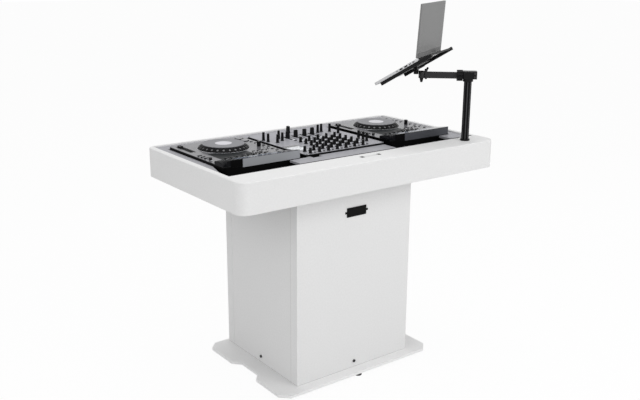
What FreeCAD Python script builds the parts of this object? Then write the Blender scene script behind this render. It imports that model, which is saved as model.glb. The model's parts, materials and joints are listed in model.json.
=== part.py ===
"""DJ booth: a white pedestal and tray with two media players, a mixer and a laptop on a stand.

Millimetres. X runs along the booth's width, -Y faces the audience, +Y faces the DJ and +Z is up.
The origin lies on the floor under the middle of the tray.
"""
import FreeCAD, Part
import math
import os

# Equipment that sets the size of the tray
MIXER_WIDTH = 380.0
MIXER_DEPTH = 405.0
PLAYER_WIDTH = 320.0
PLAYER_DEPTH = 410.0
GEAR_GAP = 28.0

# Tray
BOOTH_HEIGHT = 905.0
TRAY_HEIGHT = 111.0
TRAY_CORNER_RADIUS = 42.0
TRAY_TOP_ROUND = 5.0
TRAY_FLOOR_THICKNESS = 18.0
FRONT_RAIL_WIDTH = 115.0
SIDE_RAIL_WIDTH = 23.0
REAR_RAIL_WIDTH = 18.0

# Deck panels round the equipment
SIDE_STRIP_WIDTH = 39.0
DJ_STRIP_DEPTH = 55.0
CABLE_GAP_DEPTH = 88.0
MIDDLE_PANEL_LEFT = 268.0
MIDDLE_PANEL_RIGHT = 185.0
CORNER_PANEL_WIDTH = 97.0
STRIP_TAPER = 125.0
CABLE_NOTCH_LEFT = 175.0
CABLE_NOTCH_WIDTH = 42.0
CABLE_NOTCH_DEPTH = 22.0
DECK_DROP = 5.0
DECK_THICKNESS = 8.0
DECK_CLEARANCE = 3.0
BATTEN_WIDTH = 18.0
PACKER_THICKNESS = 10.0
PACKER_INSET = 20.0

# Pedestal
PEDESTAL_WIDTH = 556.0
PEDESTAL_DEPTH = 504.0
PEDESTAL_SETBACK = 143.0
PANEL_THICKNESS = 18.0
POST_WIDTH = 45.0
POST_DEPTH = 24.0
SEAM_BEVEL = 1.5
CLEAT_WIDTH = 30.0
CLEAT_HEIGHT = 52.0
BOLT_HEAD_RADIUS = 6.0
BOLT_HEAD_HEIGHT = 4.0
BOLT_RADIUS = 4.0
BOLT_SOCKET_WIDTH = 5.0
HOLE_CLEARANCE = 0.1

# Base plate and feet
BASE_WIDTH = 746.0
BASE_DEPTH = 564.0
BASE_THICKNESS = 11.0
BASE_LEAD = 46.0
BASE_CHAMFER = 34.0
NOTCH_MOUTH = 186.0
NOTCH_FLOOR = 118.0
NOTCH_DEPTH = 30.0
FOOT_HEIGHT = 11.0
FOOT_RADIUS = 15.0
FOOT_PAD_HEIGHT = 7.0
FOOT_NUT_RADIUS = 8.0
FOOT_STUD_RADIUS = 4.0
FOOT_STUD_LENGTH = 9.0
FOOT_CORNER_INSET = 62.0
FOOT_EDGE_INSET = 18.0

# Bare plates
NAME_PLATE_WIDTH = 94.0
NAME_PLATE_HEIGHT = 37.0
NAME_PLATE_THICKNESS = 2.0
NAME_PLATE_EAR = 8.0
NAME_PLATE_DROP = 119.0
RIM_PLATE_LENGTH = 93.0
RIM_PLATE_WIDTH = 16.0
RIM_PLATE_THICKNESS = 0.8
RIM_PLATE_INSET = 68.0

# Cases of the players and the mixer
CASE_WALL = 2.5
CASE_CORNER_RADIUS = 10.0
GEAR_FOOT_RADIUS = 10.0
GEAR_FOOT_HEIGHT = 8.0
GEAR_FOOT_INSET = 42.0
COVER_THICKNESS = 2.5
PLAYER_RISE = 5.0
MIXER_RISE = 2.0

# Player controls
DISPLAY_DEPTH = 75.0
DISPLAY_REAR_HEIGHT = 22.0
DISPLAY_FRONT_HEIGHT = 8.0
SCREEN_WIDTH = 190.0
SCREEN_DEPTH = 50.0
SCREEN_THICKNESS = 1.5
JOG_FROM_FRONT = 133.0
JOG_RADIUS = 96.0
JOG_TOP_RADIUS = 80.0
JOG_HEIGHT = 15.0
JOG_SKIRT_HEIGHT = 3.0
JOG_PLATE_THICKNESS = 2.0
JOG_HUB_RADIUS = 32.0
JOG_LIFT = 0.5
JOG_DIMPLES = 24
JOG_DIMPLE_RADIUS = 7.0
JOG_DIMPLE_DEPTH = 4.0
FIT_CLEARANCE = 0.1
SLIDE_CLEARANCE = 0.3
TEMPO_INSET = 28.0
TEMPO_TRAVEL = 100.0
TEMPO_FROM_FRONT = 82.0
TEMPO_REST = 44.0
TEMPO_CAP_WIDTH = 15.0
TEMPO_CAP_LENGTH = 20.0
TEMPO_CAP_HEIGHT = 6.0
BUTTON_RADIUS = 14.0
BUTTON_RISE = 4.0
BUTTON_HEIGHT = 16.0
BUTTON_INSET = 30.0
PLAY_FROM_FRONT = 32.0
BUTTON_SPACING = 42.0
SELECTOR_RADIUS = 7.5
SELECTOR_HEIGHT = 20.0
SELECTOR_SHAFT_RADIUS = 3.0
SELECTOR_INSET = 38.0
SELECTOR_FROM_FRONT = 189.0
KEY_LENGTH = 15.0
KEY_WIDTH = 8.0
KEY_RISE = 3.5
KEY_PITCH = 24.0
KEY_ROW_OFFSET = 38.0
KEYS_PER_ROW = 8
SIDE_KEYS = 3
SIDE_KEY_INSET = 16.0
SIDE_KEY_OFFSET = 78.0
SIDE_KNOB_RADIUS = 6.0
SIDE_KNOB_HEIGHT = 9.0
SIDE_KNOB_INSET = 18.0
SIDE_KNOB_OFFSET = 52.0

# Faders
FADER_CAP_WIDTH = 15.0
FADER_CAP_LENGTH = 11.0
FADER_CAP_HEIGHT = 28.0
FADER_CAP_TAPER = 2.0
FADER_STEM_WIDTH = 4.0
FADER_STEM_LENGTH = 7.0
FADER_STEM_DEPTH = 12.0
FADER_LIFT = 0.5

# Mixer controls
CHANNELS = 4
CHANNEL_SPACING = 42.0
CHANNEL_OFFSET = -13.0
CHANNEL_TRAVEL = 60.0
CHANNEL_FROM_FRONT = 120.0
CHANNEL_RESTS = (-2.0, 2.0, 0.0, 5.0)
CROSS_TRAVEL = 44.0
CROSS_FROM_FRONT = 34.0
KNOB_RADIUS = 6.3
KNOB_TAPER = 0.8
KNOB_HEIGHT = 21.0
TALL_KNOB_RADIUS = 6.0
TALL_KNOB_HEIGHT = 33.0
KNOB_ROWS = 6
LONG_KNOB_ROWS = 2
KNOB_ROW_PITCH = 36.0
KNOB_REAR_INSET = 14.0
# Each tall knob's distance to the right of the mixer's middle and behind its front edge
TALL_KNOB_PLACES = (
    (-178.0, 102.0),
    (-177.0, 134.0),
    (-110.0, 108.0),
    (-119.0, 147.0),
    (-155.0, 167.0),
    (90.0, 100.0),
    (113.0, 93.0),
    (146.0, 107.0),
    (154.0, 155.0),
    (155.0, 286.0),
    (154.0, 316.0),
    (151.0, 342.0),
)
MIXER_SCREEN_WIDTH = 66.0
MIXER_SCREEN_DEPTH = 86.0
MIXER_SCREEN_SIDE_INSET = 3.0
MIXER_SCREEN_REAR_INSET = 76.0

# Laptop stand
POLE_RADIUS = 15.0
POLE_SIDE_INSET = 115.0
POLE_FRONT_INSET = 61.0
POLE_HEIGHT = 268.0
POLE_GROOVES = 8
POLE_GROOVE_RADIUS = 1.6
SOCKET_RADIUS = 19.0
SOCKET_HEIGHT = 6.0
SPIGOT_RADIUS = 8.0
SPIGOT_LENGTH = 60.0
COLLAR_RADIUS = 20.0
COLLAR_HEIGHT = 10.0
CLAMP_ARM_SIDE = 22.0
CLAMP_FREE_SIDE = 33.0
CLAMP_WIDTH = 42.0
CLAMP_HEIGHT = 29.0
CLAMP_CORNER_RADIUS = 6.0
LOCK_RING_RADIUS = 21.5
LOCK_RING_LENGTH = 22.0
LOCK_RING_LOBES = 10
LOCK_RING_GROOVE = 3.0
ARM_ANGLE = 138.5
ARM_REACH = 181.0
ARM_WIDTH = 12.0
ARM_HEIGHT = 25.0
EYE_RADIUS = 12.0
EYE_HEIGHT = 25.0
EYE_COLLAR_LENGTH = 8.0
EYE_COLLAR_WIDTH = 18.0
EYE_COLLAR_HEIGHT = 32.0
PIVOT_RADIUS = 6.0
ACORN_RADIUS = 8.0
ACORN_LENGTH = 16.0
HEAD_OFFSET = 22.0
HEAD_BOSS_RADIUS = 9.5
HEAD_BOSS_DROP = 10.0
YOKE_BASE_HEIGHT = 2.0
YOKE_RADIUS = 7.0
YOKE_EAR = 4.0
LUG_WIDTH = 14.0
AXLE_RADIUS = 4.0
AXLE_REACH = 54.0
WING_LENGTH = 34.0
WING_WIDTH = 8.0
WING_THICKNESS = 12.0

# Laptop rack and laptop
RACK_TURN_ANGLE = 29.4
RACK_TILT_ANGLE = 31.5
RACK_CLEARANCE = 0.8
RAIL_LENGTH = 228.0
RAIL_WIDTH = 16.0
RAIL_HEIGHT = 13.0
RAIL_SPACING = 285.0
RAIL_SHIFT = 6.0
RAIL_RISE = 2.0
RAIL_FRONT_REACH = 105.0
CROSSBAR_WIDTH = 58.0
CROSSBAR_HEIGHT = 6.0
CROSSBAR_RISE = 8.5
LAPTOP_WIDTH = 318.0
LAPTOP_DEPTH = 199.0
LAPTOP_THICKNESS = 10.0
LAPTOP_CORNER_RADIUS = 5.0
LAPTOP_SHIFT = 18.0
LAPTOP_BACK_REACH = 71.0
LID_THICKNESS = 6.0
LID_OPENING_ANGLE = 125.0
PANEL_MARGIN = 9.0
PANEL_GLASS = 1.0
LAPTOP_KEY_COLUMNS = 12
LAPTOP_KEY_ROWS = 5
LAPTOP_KEY_PITCH = 22.0
LAPTOP_KEY_ROW_PITCH = 19.0
LAPTOP_KEY_GAP = 3.0
LAPTOP_KEY_HEIGHT = 1.0
LAPTOP_WELL_DEPTH = 1.3
LAPTOP_WELL_MARGIN = 2.0
LAPTOP_KEY_BACK_INSET = 26.0

# How far an edge may lie from a face and still count as in it
EDGE_TOLERANCE = 0.01

# Places worked out from the sizes above
TRAY_WIDTH = MIXER_WIDTH + 2 * (GEAR_GAP + PLAYER_WIDTH + SIDE_STRIP_WIDTH + SIDE_RAIL_WIDTH)
TRAY_DEPTH = FRONT_RAIL_WIDTH + CABLE_GAP_DEPTH + PLAYER_DEPTH + DJ_STRIP_DEPTH + REAR_RAIL_WIDTH
TRAY_FRONT = -TRAY_DEPTH / 2
TRAY_BACK = TRAY_DEPTH / 2
TRAY_BOTTOM = BOOTH_HEIGHT - TRAY_HEIGHT
TRAY_FLOOR_TOP = TRAY_BOTTOM + TRAY_FLOOR_THICKNESS
POCKET_SIDE = TRAY_WIDTH / 2 - SIDE_RAIL_WIDTH
POCKET_FRONT = TRAY_FRONT + FRONT_RAIL_WIDTH
POCKET_BACK = TRAY_BACK - REAR_RAIL_WIDTH
DECK_TOP = BOOTH_HEIGHT - DECK_DROP
DECK_BOTTOM = DECK_TOP - DECK_THICKNESS
GEAR_FRONT = POCKET_BACK - DJ_STRIP_DEPTH
PLAYER_REAR = GEAR_FRONT - PLAYER_DEPTH
MIXER_REAR = GEAR_FRONT - MIXER_DEPTH
PLAYER_CENTRE = MIXER_WIDTH / 2 + GEAR_GAP + PLAYER_WIDTH / 2
CASE_BOTTOM = TRAY_FLOOR_TOP + PACKER_THICKNESS + GEAR_FOOT_HEIGHT
PLAYER_TOP = BOOTH_HEIGHT + PLAYER_RISE
MIXER_TOP = BOOTH_HEIGHT + MIXER_RISE
BASE_TOP = FOOT_HEIGHT + BASE_THICKNESS
PEDESTAL_FRONT = TRAY_FRONT + PEDESTAL_SETBACK
PEDESTAL_BACK = PEDESTAL_FRONT + PEDESTAL_DEPTH
PEDESTAL_CENTRE = (PEDESTAL_FRONT + PEDESTAL_BACK) / 2
BASE_FRONT = PEDESTAL_FRONT - BASE_LEAD
BASE_BACK = BASE_FRONT + BASE_DEPTH
BASE_CENTRE = (BASE_FRONT + BASE_BACK) / 2
DISPLAY_FRONT = PLAYER_REAR + DISPLAY_DEPTH
JOG_Y = GEAR_FRONT - JOG_FROM_FRONT
TEMPO_Y = GEAR_FRONT - TEMPO_FROM_FRONT
CROSS_Y = GEAR_FRONT - CROSS_FROM_FRONT
CHANNEL_Y = GEAR_FRONT - CHANNEL_FROM_FRONT
POLE_X = TRAY_WIDTH / 2 - POLE_SIDE_INSET
POLE_Y = TRAY_FRONT + POLE_FRONT_INSET
POLE_BOTTOM = BOOTH_HEIGHT + SOCKET_HEIGHT
POLE_TOP = POLE_BOTTOM + POLE_HEIGHT
CLAMP_BOTTOM = POLE_TOP - CLAMP_HEIGHT
ARM_Z = CLAMP_BOTTOM + ARM_HEIGHT / 2
ARM_ALONG_X = math.cos(math.radians(ARM_ANGLE))
ARM_ALONG_Y = math.sin(math.radians(ARM_ANGLE))
EYE_X = POLE_X + ARM_REACH * ARM_ALONG_X
EYE_Y = POLE_Y + ARM_REACH * ARM_ALONG_Y
HEAD_X = EYE_X + HEAD_OFFSET * ARM_ALONG_X
HEAD_Y = EYE_Y + HEAD_OFFSET * ARM_ALONG_Y
EYE_TOP = ARM_Z + EYE_HEIGHT / 2
TILT_Z = EYE_TOP + SLIDE_CLEARANCE + YOKE_BASE_HEIGHT + YOKE_RADIUS + RACK_CLEARANCE
LAPTOP_BOTTOM = RAIL_RISE + RAIL_HEIGHT
LAPTOP_TOP = LAPTOP_BOTTOM + LAPTOP_THICKNESS
LAPTOP_WELL_FLOOR = LAPTOP_TOP - LAPTOP_WELL_DEPTH
LID_AXIS_Y = LID_THICKNESS / 2 - LAPTOP_BACK_REACH
LID_HEIGHT = LAPTOP_DEPTH - LID_THICKNESS / 2
LID_AXIS_Z = LAPTOP_TOP + LID_THICKNESS / 2 + SLIDE_CLEARANCE

# Frames of the parts that stand at an angle
Vec = FreeCAD.Vector
ORIGIN = Vec(0, 0, 0)
X_AXIS = Vec(1, 0, 0)
Z_AXIS = Vec(0, 0, 1)
SIDES = (("left", -1), ("right", 1))


def turned(axis, degrees):
    """A rotation about an axis."""
    return FreeCAD.Rotation(axis, degrees)


ARM_FRAME = FreeCAD.Placement(Vec(POLE_X, POLE_Y, ARM_Z), turned(Z_AXIS, ARM_ANGLE))
HEAD_FRAME = FreeCAD.Placement(Vec(HEAD_X, HEAD_Y, 0), turned(Z_AXIS, RACK_TURN_ANGLE))
RACK_FRAME = FreeCAD.Placement(
    Vec(HEAD_X, HEAD_Y, TILT_Z), turned(Z_AXIS, RACK_TURN_ANGLE).multiply(turned(X_AXIS, -RACK_TILT_ANGLE)))
LID_FRAME = RACK_FRAME.multiply(
    FreeCAD.Placement(Vec(LAPTOP_SHIFT, LID_AXIS_Y, LID_AXIS_Z), turned(X_AXIS, LID_OPENING_ANGLE)))


# Small shape builders
def block(x0, x1, y0, y1, z0, z1):
    """A box between two corners."""
    return Part.makeBox(x1 - x0, y1 - y0, z1 - z0, Vec(x0, y0, z0))


def disc(radius, x, y, z0, z1):
    """An upright cylinder between two heights."""
    return Part.makeCylinder(radius, z1 - z0, Vec(x, y, z0))


def prism(outline, z0, z1):
    """An outline in plan raised between two heights."""
    points = [Vec(x, y, z0) for x, y in outline]
    return Part.Face(Part.makePolygon(points + points[:1])).extrude(Vec(0, 0, z1 - z0))


def turned_profile(profile, x, y):
    """A profile of radius and height points turned about an upright axis."""
    points = [Vec(x + r, y, z) for r, z in profile]
    return Part.Face(Part.makePolygon(points + points[:1])).revolve(Vec(x, y, 0), Z_AXIS, 360)


def upright_edges(shape):
    """The edges that run the full height of a shape."""
    return [e for e in shape.Edges if e.BoundBox.ZLength > 0.9 * shape.BoundBox.ZLength]


def top_edges(shape):
    """The edges that lie in a shape's top face."""
    top = shape.BoundBox.ZMax
    return [e for e in shape.Edges if e.BoundBox.ZMin > top - EDGE_TOLERANCE]


def rounded_block(x0, x1, y0, y1, z0, z1, radius):
    """A box with its four upright edges rounded."""
    solid = block(x0, x1, y0, y1, z0, z1)
    return solid.makeFillet(radius, upright_edges(solid))


def placed(shape, frame):
    """A copy of a shape moved into a frame."""
    moved = shape.copy()
    moved.Placement = frame.multiply(moved.Placement)
    return moved


def group(solids):
    """Separate solids kept together in one node."""
    return Part.makeCompound(solids)


# Base plate and feet
def foot_spots():
    """Where the levelling feet stand, in plan."""
    side = BASE_WIDTH / 2 - FOOT_CORNER_INSET
    corners = [(x, y) for x in (-side, side)
               for y in (BASE_FRONT + FOOT_CORNER_INSET, BASE_BACK - FOOT_CORNER_INSET)]
    return corners + [(0, BASE_FRONT + FOOT_EDGE_INSET), (0, BASE_BACK - FOOT_EDGE_INSET)]


def base_plate():
    """The floor plate, with cut corners and a cable notch in each side."""
    side = BASE_WIDTH / 2
    right = [
        (side - BASE_CHAMFER, BASE_FRONT),
        (side, BASE_FRONT + BASE_CHAMFER),
        (side, BASE_CENTRE - NOTCH_MOUTH / 2),
        (side - NOTCH_DEPTH, BASE_CENTRE - NOTCH_FLOOR / 2),
        (side - NOTCH_DEPTH, BASE_CENTRE + NOTCH_FLOOR / 2),
        (side, BASE_CENTRE + NOTCH_MOUTH / 2),
        (side, BASE_BACK - BASE_CHAMFER),
        (side - BASE_CHAMFER, BASE_BACK),
    ]
    left = [(-x, y) for x, y in reversed(right)]
    plate = prism(right + left, FOOT_HEIGHT, BASE_TOP)
    stud_top = FOOT_HEIGHT + FOOT_STUD_LENGTH
    holes = [disc(FOOT_STUD_RADIUS + HOLE_CLEARANCE, x, y, FOOT_HEIGHT, stud_top) for x, y in foot_spots()]
    return plate.cut(holes)


def levelling_feet():
    """Screw feet: a pad, a nut under the plate and a stud in the plate."""
    feet = []
    for x, y in foot_spots():
        pad = disc(FOOT_RADIUS, x, y, 0, FOOT_PAD_HEIGHT)
        nut = disc(FOOT_NUT_RADIUS, x, y, FOOT_PAD_HEIGHT, FOOT_HEIGHT)
        stud = disc(FOOT_STUD_RADIUS, x, y, FOOT_HEIGHT, FOOT_HEIGHT + FOOT_STUD_LENGTH)
        feet.append(pad.fuse([nut, stud]))
    return group(feet)


# Pedestal
def bolt_places():
    """The foot and outward direction of the bolt in the middle of each pedestal face."""
    side = PEDESTAL_WIDTH / 2
    height = BASE_TOP + CLEAT_HEIGHT / 2
    return [
        (Vec(0, PEDESTAL_FRONT, height), Vec(0, -1, 0)),
        (Vec(0, PEDESTAL_BACK, height), Vec(0, 1, 0)),
        (Vec(-side, PEDESTAL_CENTRE, height), Vec(-1, 0, 0)),
        (Vec(side, PEDESTAL_CENTRE, height), Vec(1, 0, 0)),
    ]


def bolt_holes():
    """Clearance holes for the bolts through panels and cleats."""
    reach = PANEL_THICKNESS + CLEAT_WIDTH
    return [Part.makeCylinder(BOLT_RADIUS + HOLE_CLEARANCE, reach, spot, out * -1)
            for spot, out in bolt_places()]


def panel_bolts():
    """Socket-head bolts that hold the panels to the lower cleats."""
    bolts = []
    for spot, out in bolt_places():
        shank = Part.makeCylinder(BOLT_RADIUS, PANEL_THICKNESS + CLEAT_WIDTH / 2, spot, out * -1)
        head = Part.makeCylinder(BOLT_HEAD_RADIUS, BOLT_HEAD_HEIGHT, spot, out)
        socket_foot = spot + out * (BOLT_HEAD_HEIGHT / 2)
        socket = Part.makeCylinder(BOLT_SOCKET_WIDTH / 2, BOLT_HEAD_HEIGHT, socket_foot, out)
        bolts.append(shank.fuse(head).cut(socket))
    return group(bolts)


def pedestal_end_panel(y0):
    """A front or rear panel, as wide as the pedestal."""
    side = PEDESTAL_WIDTH / 2
    return block(-side, side, y0, y0 + PANEL_THICKNESS, BASE_TOP, TRAY_BOTTOM).cut(bolt_holes())


def pedestal_side_panels():
    """The two side panels, between the corner posts, with bevelled seams."""
    y0 = PEDESTAL_FRONT + PANEL_THICKNESS + POST_DEPTH
    y1 = PEDESTAL_BACK - PANEL_THICKNESS - POST_DEPTH
    outer = PEDESTAL_WIDTH / 2
    inner = outer - PANEL_THICKNESS
    face = outer - SEAM_BEVEL
    right = [
        (inner, y0),
        (face, y0),
        (outer, y0 + SEAM_BEVEL),
        (outer, y1 - SEAM_BEVEL),
        (face, y1),
        (inner, y1),
    ]
    left = [(-x, y) for x, y in reversed(right)]
    return group([prism(outline, BASE_TOP, TRAY_BOTTOM).cut(bolt_holes()) for outline in (left, right)])


def pedestal_corner_posts():
    """Four corner posts behind the front and rear panels."""
    outer = PEDESTAL_WIDTH / 2
    inner = outer - POST_WIDTH
    front = PEDESTAL_FRONT + PANEL_THICKNESS
    back = PEDESTAL_BACK - PANEL_THICKNESS - POST_DEPTH
    return group([block(x0, x0 + POST_WIDTH, y0, y0 + POST_DEPTH, BASE_TOP, TRAY_BOTTOM)
                  for x0 in (-outer, inner) for y0 in (front, back)])


def pedestal_cleats():
    """Battens inside the pedestal, along the base plate and under the tray floor."""
    side = PEDESTAL_WIDTH / 2 - PANEL_THICKNESS
    front = PEDESTAL_FRONT + PANEL_THICKNESS
    back = PEDESTAL_BACK - PANEL_THICKNESS
    half_length = PEDESTAL_WIDTH / 2 - POST_WIDTH
    y0 = front + max(POST_DEPTH, CLEAT_WIDTH)
    y1 = back - max(POST_DEPTH, CLEAT_WIDTH)
    cleats = []
    for z0 in (BASE_TOP, TRAY_BOTTOM - CLEAT_HEIGHT):
        z1 = z0 + CLEAT_HEIGHT
        cleats.append(block(-half_length, half_length, front, front + CLEAT_WIDTH, z0, z1))
        cleats.append(block(-half_length, half_length, back - CLEAT_WIDTH, back, z0, z1))
        cleats.append(block(-side, CLEAT_WIDTH - side, y0, y1, z0, z1))
        cleats.append(block(side - CLEAT_WIDTH, side, y0, y1, z0, z1))
    holes = bolt_holes()
    return group([cleat.cut(holes) for cleat in cleats])


def name_plate():
    """A bare plate with two ears on the pedestal's front."""
    top = TRAY_BOTTOM - NAME_PLATE_DROP + NAME_PLATE_HEIGHT / 2
    bottom = top - NAME_PLATE_HEIGHT
    middle = (top + bottom) / 2
    y0 = PEDESTAL_FRONT - NAME_PLATE_THICKNESS
    half = NAME_PLATE_WIDTH / 2
    plate = block(-half, half, y0, PEDESTAL_FRONT, bottom, top)
    ears = block(-half - NAME_PLATE_EAR, half + NAME_PLATE_EAR, y0, PEDESTAL_FRONT,
                 middle - NAME_PLATE_EAR / 2, middle + NAME_PLATE_EAR / 2)
    return plate.fuse(ears).removeSplitter()


# Tray
def tray_ring():
    """The rounded outer form of the tray, open from top to bottom inside."""
    half = TRAY_WIDTH / 2
    outer = rounded_block(-half, half, TRAY_FRONT, TRAY_BACK, TRAY_BOTTOM, BOOTH_HEIGHT, TRAY_CORNER_RADIUS)
    outer = outer.makeFillet(TRAY_TOP_ROUND, top_edges(outer))
    return outer.cut(block(-POCKET_SIDE, POCKET_SIDE, POCKET_FRONT, POCKET_BACK, TRAY_BOTTOM, BOOTH_HEIGHT))


def tray_part(x0, x1, y0, y1):
    """The stretch of the tray ring inside a rectangle."""
    return tray_ring().common(block(x0, x1, y0, y1, TRAY_BOTTOM, BOOTH_HEIGHT)).Solids[0]


def tray_front_rail():
    """The wide rail on the audience side, bored for the pole's spigot."""
    half = TRAY_WIDTH / 2
    rail = tray_part(-half, half, TRAY_FRONT, POCKET_FRONT)
    bore = disc(SPIGOT_RADIUS + HOLE_CLEARANCE, POLE_X, POLE_Y, BOOTH_HEIGHT - SPIGOT_LENGTH, BOOTH_HEIGHT)
    return rail.cut(bore)


def tray_rear_rail():
    """The narrow rail on the DJ's side."""
    half = TRAY_WIDTH / 2
    return tray_part(-half, half, POCKET_BACK, TRAY_BACK)


def tray_side_rails():
    """The two side rails, between the front and rear rails."""
    half = TRAY_WIDTH / 2
    return group([tray_part(-half, -POCKET_SIDE, POCKET_FRONT, POCKET_BACK),
                  tray_part(POCKET_SIDE, half, POCKET_FRONT, POCKET_BACK)])


def tray_floor():
    """The board that closes the tray from below and rests on the pedestal."""
    return block(-POCKET_SIDE, POCKET_SIDE, POCKET_FRONT, POCKET_BACK, TRAY_BOTTOM, TRAY_FLOOR_TOP)


def middle_deck_panel():
    """The outline of the panel behind the mixer, with a notch for cables at the mixer's back."""
    player_edge = PLAYER_REAR - DECK_CLEARANCE
    mixer_edge = MIXER_REAR - DECK_CLEARANCE
    mixer_left = -MIXER_WIDTH / 2
    notch_right = CABLE_NOTCH_WIDTH - CABLE_NOTCH_LEFT
    notch_floor = mixer_edge - CABLE_NOTCH_DEPTH
    return [
        (-MIDDLE_PANEL_LEFT, POCKET_FRONT),
        (MIDDLE_PANEL_RIGHT, POCKET_FRONT),
        (MIDDLE_PANEL_RIGHT, mixer_edge),
        (notch_right, mixer_edge),
        (notch_right, notch_floor),
        (-CABLE_NOTCH_LEFT, notch_floor),
        (-CABLE_NOTCH_LEFT, mixer_edge),
        (mixer_left, mixer_edge),
        (mixer_left, player_edge),
        (-MIDDLE_PANEL_LEFT, player_edge),
    ]


def deck_panels():
    """Grey panels that fill the tray round the equipment, open behind the players for cables."""
    gear_side = POCKET_SIDE - SIDE_STRIP_WIDTH + DECK_CLEARANCE
    strip_rear = PLAYER_REAR - DECK_CLEARANCE
    front = GEAR_FRONT + DECK_CLEARANCE
    left_strip = [
        (-POCKET_SIDE, DISPLAY_FRONT - STRIP_TAPER),
        (-gear_side, DISPLAY_FRONT),
        (-gear_side, POCKET_BACK),
        (-POCKET_SIDE, POCKET_BACK),
    ]
    rectangles = [
        (gear_side, POCKET_SIDE, strip_rear, POCKET_BACK),
        (-gear_side, gear_side, front, POCKET_BACK),
        (POCKET_SIDE - CORNER_PANEL_WIDTH, POCKET_SIDE, POCKET_FRONT, strip_rear),
    ]
    panels = [prism(outline, DECK_BOTTOM, DECK_TOP) for outline in (left_strip, middle_deck_panel())]
    return group(panels + [block(*sides, DECK_BOTTOM, DECK_TOP) for sides in rectangles])


def tray_battens():
    """Upright battens under the deck panels and flat packers under the equipment."""
    corner = POCKET_SIDE - CORNER_PANEL_WIDTH
    side = POCKET_SIDE - BATTEN_WIDTH
    back = POCKET_BACK - BATTEN_WIDTH
    inner_back = GEAR_FRONT + 2 * DECK_CLEARANCE
    middle_rear = PLAYER_REAR - DECK_CLEARANCE
    outlines = [
        (-POCKET_SIDE, -side, DISPLAY_FRONT - STRIP_TAPER, POCKET_BACK),
        (side, POCKET_SIDE, POCKET_FRONT, POCKET_BACK),
        (-side, side, back, POCKET_BACK),
        (-side, side, inner_back, inner_back + BATTEN_WIDTH),
        (-MIDDLE_PANEL_LEFT, MIDDLE_PANEL_RIGHT, POCKET_FRONT, POCKET_FRONT + BATTEN_WIDTH),
        (-MIDDLE_PANEL_LEFT, MIDDLE_PANEL_RIGHT, middle_rear - BATTEN_WIDTH, middle_rear),
        (corner, corner + BATTEN_WIDTH, POCKET_FRONT, middle_rear),
    ]
    battens = [block(x0, x1, y0, y1, TRAY_FLOOR_TOP, DECK_BOTTOM) for x0, x1, y0, y1 in outlines]
    packer_top = TRAY_FLOOR_TOP + PACKER_THICKNESS
    for centre, width, rear in ((-PLAYER_CENTRE, PLAYER_WIDTH, PLAYER_REAR), (0, MIXER_WIDTH, MIXER_REAR),
                                (PLAYER_CENTRE, PLAYER_WIDTH, PLAYER_REAR)):
        half = width / 2 - PACKER_INSET
        battens.append(block(centre - half, centre + half, rear + PACKER_INSET, GEAR_FRONT - PACKER_INSET,
                             TRAY_FLOOR_TOP, packer_top))
    return group(battens)


def rim_plate():
    """A bare label plate on the front rail."""
    half = RIM_PLATE_LENGTH / 2
    y0 = TRAY_FRONT + RIM_PLATE_INSET - RIM_PLATE_WIDTH / 2
    return block(-half, half, y0, y0 + RIM_PLATE_WIDTH, BOOTH_HEIGHT, BOOTH_HEIGHT + RIM_PLATE_THICKNESS)


# Cases shared by the players and the mixer
def case_tub(centre, width, rear, top):
    """An open-topped case with thin walls."""
    half = width / 2
    outer = rounded_block(centre - half, centre + half, rear, GEAR_FRONT, CASE_BOTTOM, top,
                          CASE_CORNER_RADIUS)
    hollow = rounded_block(centre - half + CASE_WALL, centre + half - CASE_WALL, rear + CASE_WALL,
                           GEAR_FRONT - CASE_WALL, CASE_BOTTOM + CASE_WALL, top,
                           CASE_CORNER_RADIUS - CASE_WALL)
    return outer.cut(hollow)


def cover_plate(centre, width, rear, top):
    """A flat cover on a case."""
    half = width / 2
    return rounded_block(centre - half, centre + half, rear, GEAR_FRONT, top - COVER_THICKNESS, top,
                         CASE_CORNER_RADIUS)


def gear_feet():
    """Four rubber feet under each piece of equipment."""
    feet = []
    for centre, width, rear in ((-PLAYER_CENTRE, PLAYER_WIDTH, PLAYER_REAR), (0, MIXER_WIDTH, MIXER_REAR),
                                (PLAYER_CENTRE, PLAYER_WIDTH, PLAYER_REAR)):
        reach = width / 2 - GEAR_FOOT_INSET
        for x in (centre - reach, centre + reach):
            for y in (rear + GEAR_FOOT_INSET, GEAR_FRONT - GEAR_FOOT_INSET):
                feet.append(disc(GEAR_FOOT_RADIUS, x, y, CASE_BOTTOM - GEAR_FOOT_HEIGHT, CASE_BOTTOM))
    return group(feet)


# Faders
def fader(width, length, height, top):
    """A fader cap with its stem, standing over the middle of its slot."""
    foot = top + FADER_LIFT
    peak = foot + height
    half_width = width / 2
    half_length = length / 2
    profile = [
        Vec(-half_width, -half_length, foot),
        Vec(-half_width, half_length, foot),
        Vec(-half_width, half_length - FADER_CAP_TAPER, peak),
        Vec(-half_width, 0, peak - FADER_CAP_TAPER),
        Vec(-half_width, FADER_CAP_TAPER - half_length, peak),
    ]
    cap = Part.Face(Part.makePolygon(profile + profile[:1])).extrude(Vec(width, 0, 0))
    stem = block(-FADER_STEM_WIDTH / 2, FADER_STEM_WIDTH / 2, -FADER_STEM_LENGTH / 2, FADER_STEM_LENGTH / 2,
                 foot - FADER_STEM_DEPTH, foot)
    return cap.fuse(stem)


def fader_frame(x, y, along_x):
    """Where a fader or its slot stands, turned if it runs along the width."""
    return FreeCAD.Placement(Vec(x, y, 0), turned(Z_AXIS, 90 if along_x else 0))


def mixer_fader(x, y, along_x):
    """One of the mixer's tall faders."""
    cap = fader(FADER_CAP_WIDTH, FADER_CAP_LENGTH, FADER_CAP_HEIGHT, MIXER_TOP)
    return placed(cap, fader_frame(x, y, along_x))


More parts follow.
